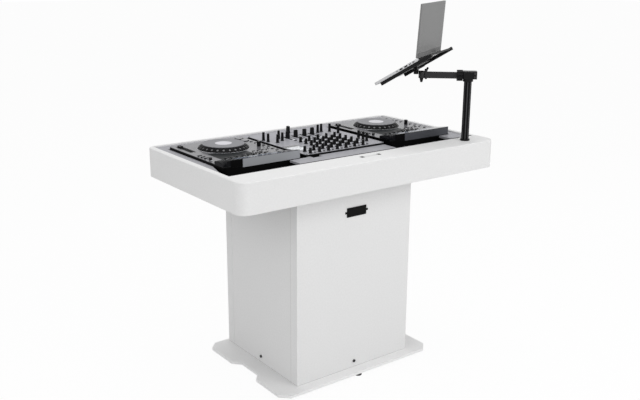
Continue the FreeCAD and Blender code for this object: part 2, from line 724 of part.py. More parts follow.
def fader_slot(x, y, top, travel, along_x):
    """The slot in a cover for a fader's stem."""
    half_width = FADER_STEM_WIDTH / 2 + SLIDE_CLEARANCE
    half_length = (travel + FADER_STEM_LENGTH) / 2 + SLIDE_CLEARANCE
    slot = block(-half_width, half_width, -half_length, half_length, top - COVER_THICKNESS, top)
    return placed(slot, fader_frame(x, y, along_x))


# Media players
def tempo_x(centre):
    """The line of a player's tempo fader."""
    return centre - PLAYER_WIDTH / 2 + TEMPO_INSET


def button_x(centre):
    """The line of a player's play and cue buttons."""
    return centre + PLAYER_WIDTH / 2 - BUTTON_INSET


def selector_spot(centre):
    """The place of a player's selector knob."""
    return centre + PLAYER_WIDTH / 2 - SELECTOR_INSET, GEAR_FRONT - SELECTOR_FROM_FRONT


def button_ys():
    """The places of the play and cue buttons."""
    return GEAR_FRONT - PLAY_FROM_FRONT, GEAR_FRONT - PLAY_FROM_FRONT - BUTTON_SPACING


def player_case(centre):
    """A player's lower case."""
    return case_tub(centre, PLAYER_WIDTH, PLAYER_REAR, PLAYER_TOP - COVER_THICKNESS)


def player_cover(centre):
    """A player's top cover, cut for the controls that pass through it."""
    under = PLAYER_TOP - COVER_THICKNESS
    select_x, select_y = selector_spot(centre)
    cuts = [fader_slot(tempo_x(centre), TEMPO_Y, PLAYER_TOP, TEMPO_TRAVEL, False),
            disc(SELECTOR_SHAFT_RADIUS + FIT_CLEARANCE, select_x, select_y, under, PLAYER_TOP)]
    for y in button_ys():
        cuts.append(disc(BUTTON_RADIUS + SLIDE_CLEARANCE, button_x(centre), y, under, PLAYER_TOP))
    return cover_plate(centre, PLAYER_WIDTH, PLAYER_REAR, PLAYER_TOP).cut(cuts)


def screen_frame(centre):
    """The frame of a player's screen, on the sloping top of its display housing."""
    fall = DISPLAY_REAR_HEIGHT - DISPLAY_FRONT_HEIGHT
    slope = math.degrees(math.atan2(fall, DISPLAY_DEPTH))
    middle = PLAYER_TOP + (DISPLAY_REAR_HEIGHT + DISPLAY_FRONT_HEIGHT) / 2
    return FreeCAD.Placement(Vec(centre, (PLAYER_REAR + DISPLAY_FRONT) / 2, middle), turned(X_AXIS, -slope))


def player_screen(centre):
    """The glass let into a display housing."""
    half_width = SCREEN_WIDTH / 2
    half_depth = SCREEN_DEPTH / 2
    glass = block(-half_width, half_width, -half_depth, half_depth, -SCREEN_THICKNESS, 0)
    return placed(glass, screen_frame(centre))


def player_display_housing(centre):
    """The raised wedge behind the jog wheel that carries the screen."""
    half = PLAYER_WIDTH / 2
    wedge = rounded_block(centre - half, centre + half, PLAYER_REAR, DISPLAY_FRONT, PLAYER_TOP,
                          PLAYER_TOP + DISPLAY_REAR_HEIGHT, CASE_CORNER_RADIUS)
    roof = block(-PLAYER_WIDTH, PLAYER_WIDTH, -DISPLAY_DEPTH, DISPLAY_DEPTH, 0, DISPLAY_REAR_HEIGHT)
    return wedge.cut([placed(roof, screen_frame(centre)), player_screen(centre)])


def jog_wheel(centre):
    """The dimpled ring of a jog wheel, turning on the fixed hub."""
    foot = PLAYER_TOP + JOG_LIFT
    top = foot + JOG_HEIGHT
    skirt = foot + JOG_SKIRT_HEIGHT
    bore = JOG_HUB_RADIUS + FIT_CLEARANCE
    ring = turned_profile([(bore, foot), (JOG_RADIUS, foot), (JOG_RADIUS, skirt), (JOG_TOP_RADIUS, top),
                           (bore, top)], centre, JOG_Y)
    run = JOG_RADIUS - JOG_TOP_RADIUS
    rise = top - skirt
    slant = math.hypot(run, rise)
    out = JOG_DIMPLE_RADIUS - JOG_DIMPLE_DEPTH
    radius = (JOG_RADIUS + JOG_TOP_RADIUS) / 2 + out * rise / slant
    height = (skirt + top) / 2 + out * run / slant
    dimples = []
    for number in range(JOG_DIMPLES):
        angle = 2 * math.pi * number / JOG_DIMPLES
        spot = Vec(centre + radius * math.cos(angle), JOG_Y + radius * math.sin(angle), height)
        dimples.append(Part.makeSphere(JOG_DIMPLE_RADIUS, spot))
    return ring.cut(dimples)


def jog_plate(centre):
    """The metal disc on top of a jog wheel."""
    foot = PLAYER_TOP + JOG_LIFT + JOG_HEIGHT
    top = foot + JOG_PLATE_THICKNESS
    bore = JOG_HUB_RADIUS + FIT_CLEARANCE
    return disc(JOG_TOP_RADIUS, centre, JOG_Y, foot, top).cut(disc(bore, centre, JOG_Y, foot, top))


def jog_hub(centre):
    """The fixed hub in the middle of a jog wheel."""
    top = PLAYER_TOP + JOG_LIFT + JOG_HEIGHT + JOG_PLATE_THICKNESS
    return disc(JOG_HUB_RADIUS, centre, JOG_Y, PLAYER_TOP, top)


def tempo_fader(centre):
    """A player's tempo fader, standing towards the DJ's end of its slot."""
    cap = fader(TEMPO_CAP_WIDTH, TEMPO_CAP_LENGTH, TEMPO_CAP_HEIGHT, PLAYER_TOP)
    return placed(cap, fader_frame(tempo_x(centre), TEMPO_Y + TEMPO_REST, False))


def player_button(centre, y):
    """A round push button standing through the cover."""
    top = PLAYER_TOP + BUTTON_RISE
    button = disc(BUTTON_RADIUS, button_x(centre), y, top - BUTTON_HEIGHT, top)
    return button.makeChamfer(BUTTON_RISE / 4, top_edges(button))


def selector_knob(centre):
    """The selector knob with its shaft in the cover."""
    x, y = selector_spot(centre)
    foot = PLAYER_TOP + SLIDE_CLEARANCE
    shaft = disc(SELECTOR_SHAFT_RADIUS, x, y, PLAYER_TOP - COVER_THICKNESS, foot)
    knob = disc(SELECTOR_RADIUS, x, y, foot, foot + SELECTOR_HEIGHT)
    return knob.makeChamfer(SELECTOR_RADIUS / 6, top_edges(knob)).fuse(shaft)


def player_keys():
    """Small fixed keys on both players: a row under each display, and a column and a knob beside it."""
    keys = []
    half_length = KEY_LENGTH / 2
    half_width = KEY_WIDTH / 2
    for _, side in SIDES:
        centre = side * PLAYER_CENTRE
        edge = centre - PLAYER_WIDTH / 2
        spots = []
        for number in range(KEYS_PER_ROW):
            x = centre + (number - (KEYS_PER_ROW - 1) / 2) * KEY_PITCH
            spots.append((x, DISPLAY_FRONT + KEY_ROW_OFFSET))
        for number in range(SIDE_KEYS):
            spots.append((edge + SIDE_KEY_INSET, DISPLAY_FRONT + SIDE_KEY_OFFSET + number * KEY_PITCH))
        for x, y in spots:
            keys.append(block(x - half_length, x + half_length, y - half_width, y + half_width,
                              PLAYER_TOP, PLAYER_TOP + KEY_RISE))
        keys.append(disc(SIDE_KNOB_RADIUS, edge + SIDE_KNOB_INSET, DISPLAY_FRONT + SIDE_KNOB_OFFSET,
                         PLAYER_TOP, PLAYER_TOP + SIDE_KNOB_HEIGHT))
    return group(keys)


# Mixer
def channel_x(number):
    """The line of a mixer channel."""
    return CHANNEL_OFFSET + (number - (CHANNELS - 1) / 2) * CHANNEL_SPACING


def mixer_case():
    """The mixer's lower case."""
    return case_tub(0, MIXER_WIDTH, MIXER_REAR, MIXER_TOP - COVER_THICKNESS)


def mixer_screen():
    """The mixer's touch screen, flush in the faceplate."""
    x0 = MIXER_SCREEN_SIDE_INSET - MIXER_WIDTH / 2
    y0 = MIXER_REAR + MIXER_SCREEN_REAR_INSET
    return block(x0, x0 + MIXER_SCREEN_WIDTH, y0, y0 + MIXER_SCREEN_DEPTH,
                 MIXER_TOP - SCREEN_THICKNESS, MIXER_TOP)


def mixer_faceplate():
    """The mixer's faceplate, cut for its faders and screen."""
    cuts = [fader_slot(channel_x(n), CHANNEL_Y, MIXER_TOP, CHANNEL_TRAVEL, False) for n in range(CHANNELS)]
    cuts.append(fader_slot(CHANNEL_OFFSET, CROSS_Y, MIXER_TOP, CROSS_TRAVEL, True))
    cuts.append(mixer_screen())
    return cover_plate(0, MIXER_WIDTH, MIXER_REAR, MIXER_TOP).cut(cuts)


def channel_fader(number):
    """One channel's volume fader."""
    return mixer_fader(channel_x(number), CHANNEL_Y + CHANNEL_RESTS[number], False)


def crossfader():
    """The fader between the two halves of the mix."""
    return mixer_fader(CHANNEL_OFFSET, CROSS_Y, True)


def knob_spots():
    """The place, radius and height of every fixed knob on the mixer."""
    spots = []
    for row in range(KNOB_ROWS):
        y = MIXER_REAR + KNOB_REAR_INSET + row * KNOB_ROW_PITCH
        first = -2 if row < LONG_KNOB_ROWS else 0
        for number in range(first, CHANNELS + 1):
            spots.append((channel_x(number), y, KNOB_RADIUS, KNOB_HEIGHT))
    for x, from_front in TALL_KNOB_PLACES:
        spots.append((x, GEAR_FRONT - from_front, TALL_KNOB_RADIUS, TALL_KNOB_HEIGHT))
    return spots


def mixer_knobs():
    """The mixer's tone and level knobs, tapered towards the top."""
    return group([Part.makeCone(radius, radius * KNOB_TAPER, height, Vec(x, y, MIXER_TOP))
                  for x, y, radius, height in knob_spots()])


def gear_screens():
    """The glass of both players and the mixer."""
    return group([player_screen(side * PLAYER_CENTRE) for _, side in SIDES] + [mixer_screen()])


# Laptop stand
def pole_socket():
    """The foot of the pole: a flange on the front rail and a spigot in it."""
    flange = disc(SOCKET_RADIUS, POLE_X, POLE_Y, BOOTH_HEIGHT, POLE_BOTTOM)
    spigot = disc(SPIGOT_RADIUS, POLE_X, POLE_Y, BOOTH_HEIGHT - SPIGOT_LENGTH, BOOTH_HEIGHT)
    return flange.fuse(spigot)


def stand_pole():
    """The grooved upright pole."""
    pole = disc(POLE_RADIUS, POLE_X, POLE_Y, POLE_BOTTOM, POLE_TOP)
    grooves = []
    for number in range(POLE_GROOVES):
        angle = 2 * math.pi * (number + 0.5) / POLE_GROOVES
        x = POLE_X + POLE_RADIUS * math.cos(angle)
        y = POLE_Y + POLE_RADIUS * math.sin(angle)
        grooves.append(disc(POLE_GROOVE_RADIUS, x, y, POLE_BOTTOM, POLE_TOP))
    return pole.cut(grooves)


def height_collar():
    """The ring that slides on the pole and carries the clamp."""
    top = CLAMP_BOTTOM - SLIDE_CLEARANCE
    ring = disc(COLLAR_RADIUS, POLE_X, POLE_Y, top - COLLAR_HEIGHT, top)
    return ring.cut(disc(POLE_RADIUS + FIT_CLEARANCE, POLE_X, POLE_Y, top - COLLAR_HEIGHT, top))


def swivel_clamp():
    """The block that turns on the pole and holds the arm."""
    foot = CLAMP_BOTTOM - ARM_Z
    body = rounded_block(-CLAMP_FREE_SIDE, CLAMP_ARM_SIDE, -CLAMP_WIDTH / 2, CLAMP_WIDTH / 2, foot,
                         foot + CLAMP_HEIGHT, CLAMP_CORNER_RADIUS)
    return placed(body.cut(disc(POLE_RADIUS + FIT_CLEARANCE, 0, 0, foot, foot + CLAMP_HEIGHT)), ARM_FRAME)


def arm_bar():
    """The bar of the arm, from the clamp to the eye, in the arm's frame."""
    return block(CLAMP_ARM_SIDE, ARM_REACH, -ARM_WIDTH / 2, ARM_WIDTH / 2, -ARM_HEIGHT / 2, ARM_HEIGHT / 2)


def arm_lock_ring():
    """The grooved ring that tightens the arm in the clamp."""
    start = Vec(CLAMP_ARM_SIDE, 0, 0)
    ring = Part.makeCylinder(LOCK_RING_RADIUS, LOCK_RING_LENGTH, start, X_AXIS)
    cuts = [arm_bar()]
    for number in range(LOCK_RING_LOBES):
        angle = 2 * math.pi * number / LOCK_RING_LOBES
        edge = Vec(0, LOCK_RING_RADIUS * math.cos(angle), LOCK_RING_RADIUS * math.sin(angle))
        cuts.append(Part.makeCylinder(LOCK_RING_GROOVE, LOCK_RING_LENGTH, start + edge, X_AXIS))
    return placed(ring.cut(cuts), ARM_FRAME)


def stand_arm():
    """The flat arm with the eye for the head's pivot and a collar in front of the eye."""
    eye = disc(EYE_RADIUS, ARM_REACH, 0, -EYE_HEIGHT / 2, EYE_HEIGHT / 2)
    bore = disc(PIVOT_RADIUS + FIT_CLEARANCE, ARM_REACH, 0, -EYE_HEIGHT / 2, EYE_HEIGHT / 2)
    collar_end = ARM_REACH - EYE_RADIUS - RACK_CLEARANCE
    collar = block(collar_end - EYE_COLLAR_LENGTH, collar_end, -EYE_COLLAR_WIDTH / 2, EYE_COLLAR_WIDTH / 2,
                   -EYE_COLLAR_HEIGHT / 2, EYE_COLLAR_HEIGHT / 2)
    return placed(arm_bar().fuse([eye, collar]).cut(bore).removeSplitter(), ARM_FRAME)


def head_pivot():
    """The head's pivot with its acorn end, and the neck that reaches past the arm's eye."""
    low = -EYE_HEIGHT / 2 - SLIDE_CLEARANCE
    high = EYE_HEIGHT / 2 + SLIDE_CLEARANCE
    neck_top = high + YOKE_BASE_HEIGHT
    neck_end = ARM_REACH + HEAD_OFFSET
    pivot = disc(PIVOT_RADIUS, ARM_REACH, 0, low, high)
    acorn = Part.makeCone(ACORN_RADIUS, ACORN_RADIUS / 2, ACORN_LENGTH, Vec(ARM_REACH, 0, low), Z_AXIS * -1)
    cap = disc(EYE_RADIUS, ARM_REACH, 0, high, neck_top)
    neck = block(ARM_REACH, neck_end, -EYE_RADIUS, EYE_RADIUS, high, neck_top)
    yoke_base = disc(EYE_RADIUS, neck_end, 0, high, neck_top)
    boss = disc(HEAD_BOSS_RADIUS, neck_end, 0, high - HEAD_BOSS_DROP, high)
    return placed(pivot.fuse([acorn, cap, neck, yoke_base, boss]), ARM_FRAME)


def swivel_head():
    """The head: a pivot and a neck on the arm's eye, and the yoke that holds the rack's lug."""
    foot = EYE_TOP + SLIDE_CLEARANCE
    pieces = []
    for inner in (LUG_WIDTH / 2 + SLIDE_CLEARANCE, -LUG_WIDTH / 2 - SLIDE_CLEARANCE - YOKE_EAR):
        ear = Part.makeCylinder(YOKE_RADIUS, YOKE_EAR, Vec(inner, 0, TILT_Z), X_AXIS)
        leg = block(inner, inner + YOKE_EAR, -YOKE_RADIUS, YOKE_RADIUS, foot, TILT_Z)
        pieces += [placed(ear, HEAD_FRAME), placed(leg, HEAD_FRAME)]
    bore_start = Vec(-LUG_WIDTH, 0, TILT_Z)
    bore = Part.makeCylinder(AXLE_RADIUS + FIT_CLEARANCE, 2 * LUG_WIDTH, bore_start, X_AXIS)
    return head_pivot().fuse(pieces).cut(placed(bore, HEAD_FRAME)).removeSplitter()


def tilt_knob():
    """The tilt axle with its wing knob."""
    axle = Part.makeCylinder(AXLE_RADIUS, LUG_WIDTH + AXLE_REACH, Vec(-LUG_WIDTH, 0, 0), X_AXIS)
    wing = block(AXLE_REACH, AXLE_REACH + WING_THICKNESS, -WING_LENGTH / 2, WING_LENGTH / 2,
                 -WING_WIDTH / 2, WING_WIDTH / 2)
    long_edges = [e for e in wing.Edges if e.BoundBox.XLength > 0.9 * WING_THICKNESS]
    rounded = wing.makeFillet(WING_WIDTH / 3, long_edges)
    return placed(axle.fuse(rounded).removeSplitter(), RACK_FRAME)


def rack_rails():
    """The two rails that the laptop lies on."""
    back = RAIL_FRONT_REACH - RAIL_LENGTH
    rails = []
    for x in (RAIL_SHIFT - RAIL_SPACING / 2, RAIL_SHIFT + RAIL_SPACING / 2):
        rail = block(x - RAIL_WIDTH / 2, x + RAIL_WIDTH / 2, back, RAIL_FRONT_REACH,
                     RAIL_RISE, LAPTOP_BOTTOM)
        rails.append(placed(rail, RACK_FRAME))
    return group(rails)


def rack_crossbar():
    """The bar between the rails, and the lug under it that takes the tilt axle."""
    half = (RAIL_SPACING - RAIL_WIDTH) / 2
    bar = block(RAIL_SHIFT - half, RAIL_SHIFT + half, -CROSSBAR_WIDTH / 2, CROSSBAR_WIDTH / 2,
                CROSSBAR_RISE, CROSSBAR_RISE + CROSSBAR_HEIGHT)
    lug = Part.makeCylinder(YOKE_RADIUS, LUG_WIDTH, Vec(-LUG_WIDTH / 2, 0, 0), X_AXIS)
    neck = block(-LUG_WIDTH / 2, LUG_WIDTH / 2, -YOKE_RADIUS, YOKE_RADIUS, 0, CROSSBAR_RISE)
    bore = Part.makeCylinder(AXLE_RADIUS, LUG_WIDTH, Vec(-LUG_WIDTH / 2, 0, 0), X_AXIS)
    return group([placed(bar, RACK_FRAME), placed(lug.fuse(neck).cut(bore).removeSplitter(), RACK_FRAME)])


# Laptop
def laptop_key(column, row):
    """One key, in the rack's frame."""
    half = (LAPTOP_KEY_PITCH - LAPTOP_KEY_GAP) / 2
    half_row = (LAPTOP_KEY_ROW_PITCH - LAPTOP_KEY_GAP) / 2
    x = LAPTOP_SHIFT + (column - (LAPTOP_KEY_COLUMNS - 1) / 2) * LAPTOP_KEY_PITCH
    y = LAPTOP_KEY_BACK_INSET - LAPTOP_BACK_REACH + row * LAPTOP_KEY_ROW_PITCH
    return block(x - half, x + half, y - half_row, y + half_row, LAPTOP_WELL_FLOOR,
                 LAPTOP_WELL_FLOOR + LAPTOP_KEY_HEIGHT)


def laptop_base():
    """The lower half of the laptop, with a well for the keys."""
    x0 = LAPTOP_SHIFT - LAPTOP_WIDTH / 2
    y0 = -LAPTOP_BACK_REACH
    body = rounded_block(x0, x0 + LAPTOP_WIDTH, y0, y0 + LAPTOP_DEPTH, LAPTOP_BOTTOM, LAPTOP_TOP,
                         LAPTOP_CORNER_RADIUS)
    first = laptop_key(0, 0).BoundBox
    last = laptop_key(LAPTOP_KEY_COLUMNS - 1, LAPTOP_KEY_ROWS - 1).BoundBox
    margin = LAPTOP_WELL_MARGIN
    well = block(first.XMin - margin, last.XMax + margin, first.YMin - margin, last.YMax + margin,
                 LAPTOP_WELL_FLOOR, LAPTOP_TOP)
    return placed(body.cut(well), RACK_FRAME)


def laptop_keys():
    """The laptop's keys, standing in the well just below its top."""
    return group([placed(laptop_key(column, row), RACK_FRAME)
                  for row in range(LAPTOP_KEY_ROWS) for column in range(LAPTOP_KEY_COLUMNS)])


def lid_glass():
    """The outline of the screen's glass, in the lid's frame."""
    half = LAPTOP_WIDTH / 2 - PANEL_MARGIN
    y0 = 2 * PANEL_MARGIN
    y1 = LID_HEIGHT - PANEL_MARGIN
    return block(-half, half, y0, y1, -LID_THICKNESS / 2, PANEL_GLASS - LID_THICKNESS / 2)


def laptop_lid():
    """The lid, whose lower edge is the hinge barrel."""
    half = LAPTOP_WIDTH / 2
    panel = block(-half, half, 0, LID_HEIGHT, -LID_THICKNESS / 2, LID_THICKNESS / 2)
    far_corners = [e for e in upright_edges(panel) if e.BoundBox.YMin > LID_HEIGHT / 2]
    panel = panel.makeFillet(LAPTOP_CORNER_RADIUS, far_corners)
    barrel = Part.makeCylinder(LID_THICKNESS / 2, LAPTOP_WIDTH, Vec(-half, 0, 0), X_AXIS)
    return placed(panel.fuse(barrel).cut(lid_glass()).removeSplitter(), LID_FRAME)


def laptop_screen():
    """The glass of the laptop's screen."""
    return placed(lid_glass(), LID_FRAME)


def all_nodes():
    """Every node's name and shape."""
    nodes = {
        "base_plate": base_plate(),
        "levelling_feet": levelling_feet(),
        "pedestal_front_panel": pedestal_end_panel(PEDESTAL_FRONT),
        "pedestal_rear_panel": pedestal_end_panel(PEDESTAL_BACK - PANEL_THICKNESS),
        "pedestal_side_panels": pedestal_side_panels(),
        "pedestal_corner_posts": pedestal_corner_posts(),
        "pedestal_cleats": pedestal_cleats(),
        "panel_bolts": panel_bolts(),
        "name_plate": name_plate(),
        "tray_front_rail": tray_front_rail(),
        "tray_rear_rail": tray_rear_rail(),
        "tray_side_rails": tray_side_rails(),
        "tray_floor": tray_floor(),
        "tray_battens": tray_battens(),
        "deck_panels": deck_panels(),
        "rim_plate": rim_plate(),
        "gear_feet": gear_feet(),
        "gear_screens": gear_screens(),
        "player_keys": player_keys(),
        "player_jog_hubs": group([jog_hub(side * PLAYER_CENTRE) for _, side in SIDES]),
        "mixer_case": mixer_case(),
        "mixer_faceplate": mixer_faceplate(),
        "mixer_knobs": mixer_knobs(),
        "crossfader": crossfader(),
        "pole_socket": pole_socket(),
        "stand_pole": stand_pole(),
        "height_collar": height_collar(),
        "swivel_clamp": swivel_clamp(),
        "arm_lock_ring": arm_lock_ring(),
        "stand_arm": stand_arm(),
        "swivel_head": swivel_head(),
        "tilt_knob": tilt_knob(),
        "rack_rails": rack_rails(),
        "rack_crossbar": rack_crossbar(),
        "laptop_base": laptop_base(),
        "laptop_keys": laptop_keys(),
        "laptop_lid": laptop_lid(),
        "laptop_screen": laptop_screen(),
    }
    play_y, cue_y = button_ys()
    for name, side in SIDES:
        centre = side * PLAYER_CENTRE
        nodes[name + "_player_case"] = player_case(centre)
        nodes[name + "_player_cover"] = player_cover(centre)
        nodes[name + "_display_housing"] = player_display_housing(centre)
        nodes[name + "_jog_wheel"] = jog_wheel(centre)
        nodes[name + "_jog_plate"] = jog_plate(centre)
        nodes[name + "_tempo_fader"] = tempo_fader(centre)
        nodes[name + "_play_button"] = player_button(centre, play_y)
        nodes[name + "_cue_button"] = player_button(centre, cue_y)
        nodes[name + "_selector_knob"] = selector_knob(centre)
    for number in range(CHANNELS):
        nodes["channel_fader_%d" % (number + 1)] = channel_fader(number)
    return nodes


def main():
    """Write every node as a file of its own."""
    os.makedirs("parts", exist_ok=True)
    for name, shape in all_nodes().items():
        shape.exportStep("parts/%s.step" % name)


main()
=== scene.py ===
import json
import math

import bmesh
import bpy
from mathutils import Matrix, Vector


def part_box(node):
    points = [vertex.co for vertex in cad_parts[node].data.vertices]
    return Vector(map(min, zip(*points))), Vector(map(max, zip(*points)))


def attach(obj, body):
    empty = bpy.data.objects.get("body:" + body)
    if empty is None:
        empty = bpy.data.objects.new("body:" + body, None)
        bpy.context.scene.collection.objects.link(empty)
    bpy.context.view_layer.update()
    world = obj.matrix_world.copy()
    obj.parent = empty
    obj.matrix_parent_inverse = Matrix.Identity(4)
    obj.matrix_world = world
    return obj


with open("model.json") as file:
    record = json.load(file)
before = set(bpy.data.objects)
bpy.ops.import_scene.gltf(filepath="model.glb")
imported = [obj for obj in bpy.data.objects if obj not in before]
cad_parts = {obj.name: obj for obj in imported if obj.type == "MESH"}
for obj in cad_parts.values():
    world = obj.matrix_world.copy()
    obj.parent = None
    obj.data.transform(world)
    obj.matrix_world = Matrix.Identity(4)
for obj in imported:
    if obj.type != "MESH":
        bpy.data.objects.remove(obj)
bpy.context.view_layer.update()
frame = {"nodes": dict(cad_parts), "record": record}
nodes = frame["nodes"]
record = frame["record"]
joints = {joint["name"]: joint for joint in record["behaviour"]["joints"]}
MM = 0.001
SIDES = ("left", "right")
CHANNELS = (1, 2, 3, 4)
WELD_DISTANCE = 1e-6

# Camera at the photo's angle
CAMERA_TARGET = Vector((-0.0237, 0.0, 0.6760))
CAMERA_DISTANCE = 3.3220
CAMERA_AZIMUTH = math.radians(-36.954)
CAMERA_ELEVATION = math.radians(16.077)
CAMERA_ROLL = math.radians(0.332)
CAMERA_LENS = 47.02
CAMERA_SENSOR = 36.0
CAMERA_NEAR = 0.05


def add_camera():
    """The camera, with the roll of the photo."""
    azimuth, elevation = CAMERA_AZIMUTH, CAMERA_ELEVATION
    back = Vector((math.sin(azimuth) * math.cos(elevation), -math.cos(azimuth) * math.cos(elevation),
                   math.sin(elevation)))
    right = (-back).cross(Vector((0, 0, 1))).normalized()
    up = right.cross(-back)
    turned_right = right * math.cos(CAMERA_ROLL) + up * math.sin(CAMERA_ROLL)
    turned_up = up * math.cos(CAMERA_ROLL) - right * math.sin(CAMERA_ROLL)
    data = bpy.data.cameras.new("camera")
    data.sensor_fit = "HORIZONTAL"
    data.sensor_width = CAMERA_SENSOR
    data.lens = CAMERA_LENS
    data.clip_start = CAMERA_NEAR
    camera = bpy.data.objects.new("camera", data)
    bpy.context.scene.collection.objects.link(camera)
    turn = Matrix((turned_right, turned_up, back)).transposed().to_4x4()
    camera.matrix_world = Matrix.Translation(CAMERA_TARGET + back * CAMERA_DISTANCE) @ turn
    bpy.context.scene.camera = camera


# Places and sizes read from the frame
def at(x, y, z):
    """A place in the shared frame."""
    return Matrix.Translation((x, y, z))


def box_middle(low, high):
    """The middle of a box in plan."""
    return (low.x + high.x) / 2, (low.y + high.y) / 2


def middle(node):
    """The middle of a node's box in plan."""
    return box_middle(*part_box(node))


def radius_of(node):
    """Half the width of a round node."""
    low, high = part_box(node)
    return (high.x - low.x) / 2


def top_of(node):
    """The height of a node's top."""
    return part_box(node)[1].z


def display_edge(side):
    """Where a player's display ends towards its jog wheel."""
    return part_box(side + "_display_housing")[1].y


def slide_span(joint, rest):
    """The first and last place of a slide that rests at a place."""
    first, last = joints[joint]["range_m"]
    return rest + first, rest + last


def islands(node):
    """The boxes round the separate solids of a node."""
    mesh = bmesh.new()
    mesh.from_mesh(nodes[node].data)
    bmesh.ops.remove_doubles(mesh, verts=mesh.verts, dist=WELD_DISTANCE)
    boxes = []
    seen = set()
    for start in mesh.verts:
        if start in seen:
            continue
        seen.add(start)
        waiting = [start]
        low, high = start.co.copy(), start.co.copy()
        while waiting:
            corner = waiting.pop()
            low = Vector(map(min, low, corner.co))
            high = Vector(map(max, high, corner.co))
            for edge in corner.link_edges:
                other = edge.other_vert(corner)
                if other not in seen:
                    seen.add(other)
                    waiting.append(other)
        boxes.append((low, high))
    mesh.free()
    return boxes


# Spans and steps along an axis
def around(centre, half):
    """The span that reaches equally far to both sides of a number."""
    return centre - half, centre + half


def spread(first, last, count):
    """Evenly spaced numbers from a first to a last."""
    return [first + (last - first) * step / (count - 1) for step in range(count)]


# Node helpers for materials
def new_material(name):
    """An empty node material, its tree and its main shader."""
    material = bpy.data.materials.new(name)
    material.use_nodes = True
    return material, material.node_tree, material.node_tree.nodes["Principled BSDF"]


def feed(tree, socket, value):
    """Link an input socket to an output socket, or set it to a plain value."""
    if isinstance(value, bpy.types.NodeSocket):
        tree.links.new(value, socket)
    else:
        socket.default_value = value


def add_node(tree, kind, **sockets):
    """A node of a kind with its input sockets fed by name."""
    node = tree.nodes.new(kind)
    for socket, value in sockets.items():
        feed(tree, node.inputs[socket.replace("_", " ")], value)
    return node


def worked_out(tree, kind, operation, values, result="Value"):
    """The result of an operation of a math node on sockets and plain values."""
    node = tree.nodes.new(kind)
    node.operation = operation
    for socket, value in zip(node.inputs, values):
        feed(tree, socket, value)
    return node.outputs[result]


def object_coordinates(tree, scale=(1, 1, 1)):
    """Coordinates in the shared frame, stretched along the axes."""
    place = tree.nodes.new("ShaderNodeTexCoord")
    return add_node(tree, "ShaderNodeMapping", Vector=place.outputs["Object"], Scale=scale).outputs["Vector"]


def mapped(tree, value, low, high, start=0.0, end=1.0):
    """A value between a start and an end, spread between two other numbers."""
    node = add_node(tree, "ShaderNodeMapRange", Value=value, From_Min=start, From_Max=end, To_Min=low,
                    To_Max=high)
    return node.outputs["Result"]


def mixed(tree, share, first, second):
    """A colour between two, by a share from 0 to 1."""
    mix = tree.nodes.new("ShaderNodeMix")
    mix.data_type = "RGBA"
    for socket, value in (("Factor", share), ("A", first), ("B", second)):
        feed(tree, mix.inputs[socket], value)
    return mix.outputs["Result"]


def shade(colour, factor=1.0):
    """An opaque colour made lighter or darker by a factor."""
    return (*(min(1.0, channel * factor) for channel in colour), 1.0)


def upright_share(tree):
    """How far a surface faces sideways instead of up or down, from 0 to 1."""
    shape = tree.nodes.new("ShaderNodeNewGeometry")
    parts = add_node(tree, "ShaderNodeSeparateXYZ", Vector=shape.outputs["Normal"])
    level = worked_out(tree, "ShaderNodeMath", "ABSOLUTE", [parts.outputs["Z"]])
    return mapped(tree, level, 1.0, 0.0, start=0.3, end=0.7)


def roughen(tree, shader, height, roughness, swing, strength, depth):
    """Let a fine height pattern set a shader's roughness and bump."""
    feed(tree, shader.inputs["Roughness"], mapped(tree, height, roughness - swing, roughness + swing))
    bump = add_node(tree, "ShaderNodeBump", Strength=strength, Distance=depth * MM, Height=height)
    feed(tree, shader.inputs["Normal"], bump.outputs["Normal"])


def finish(name, colour, roughness, grain=900.0, depth=0.02, metallic=0.0, stretch=(1, 1, 1), drift=0.06,
           drift_scale=6.0, specular=0.5, pebbled=False, sides=None):
    """A surface whose colour drifts a little and whose fine grain sets roughness and bump.

    With a colour for the sides, faces that look sideways take that colour.
    """
    material, tree, shader = new_material(name)
    cloud = add_node(tree, "ShaderNodeTexNoise", Vector=object_coordinates(tree), Scale=drift_scale,
                     Detail=4.0)
    tint = mixed(tree, cloud.outputs["Fac"], shade(colour, 1 - drift), shade(colour, 1 + drift))
    if sides:
        tint = mixed(tree, upright_share(tree), tint, shade(sides))
    feed(tree, shader.inputs["Base Color"], tint)
    place = object_coordinates(tree, stretch)
    if pebbled:
        fine = add_node(tree, "ShaderNodeTexVoronoi", Vector=place, Scale=grain, Randomness=1.0)
        height = fine.outputs["Distance"]
    else:
        fine = add_node(tree, "ShaderNodeTexNoise", Vector=place, Scale=grain, Detail=3.0)
        height = fine.outputs["Fac"]
    roughen(tree, shader, height, roughness, swing=0.06, strength=0.5, depth=depth)
    shader.inputs["Metallic"].default_value = metallic
    shader.inputs["Specular IOR Level"].default_value = specular
    return material


def spun_metal(name, colour, roughness, centres):
    """Metal turned on a lathe: fine rings round the nearest of a few centres."""
    material, tree, shader = new_material(name)
    place = tree.nodes.new("ShaderNodeTexCoord").outputs["Object"]
    reaches = [worked_out(tree, "ShaderNodeVectorMath", "DISTANCE", (place, centre)) for centre in centres]
    nearest = reaches[0]
    for reach in reaches[1:]:
        nearest = worked_out(tree, "ShaderNodeMath", "MINIMUM", (nearest, reach))
    rings = add_node(tree, "ShaderNodeTexNoise", Scale=900.0, Detail=2.0)
    rings.noise_dimensions = "1D"
    feed(tree, rings.inputs["W"], nearest)
    tint = mixed(tree, rings.outputs["Fac"], shade(colour, 0.9), shade(colour, 1.1))
    feed(tree, shader.inputs["Base Color"], tint)
    roughen(tree, shader, rings.outputs["Fac"], roughness, swing=0.08, strength=0.3, depth=0.02)
    shader.inputs["Metallic"].default_value = 0.25
    shader.inputs["Specular IOR Level"].default_value = 0.15
    return material


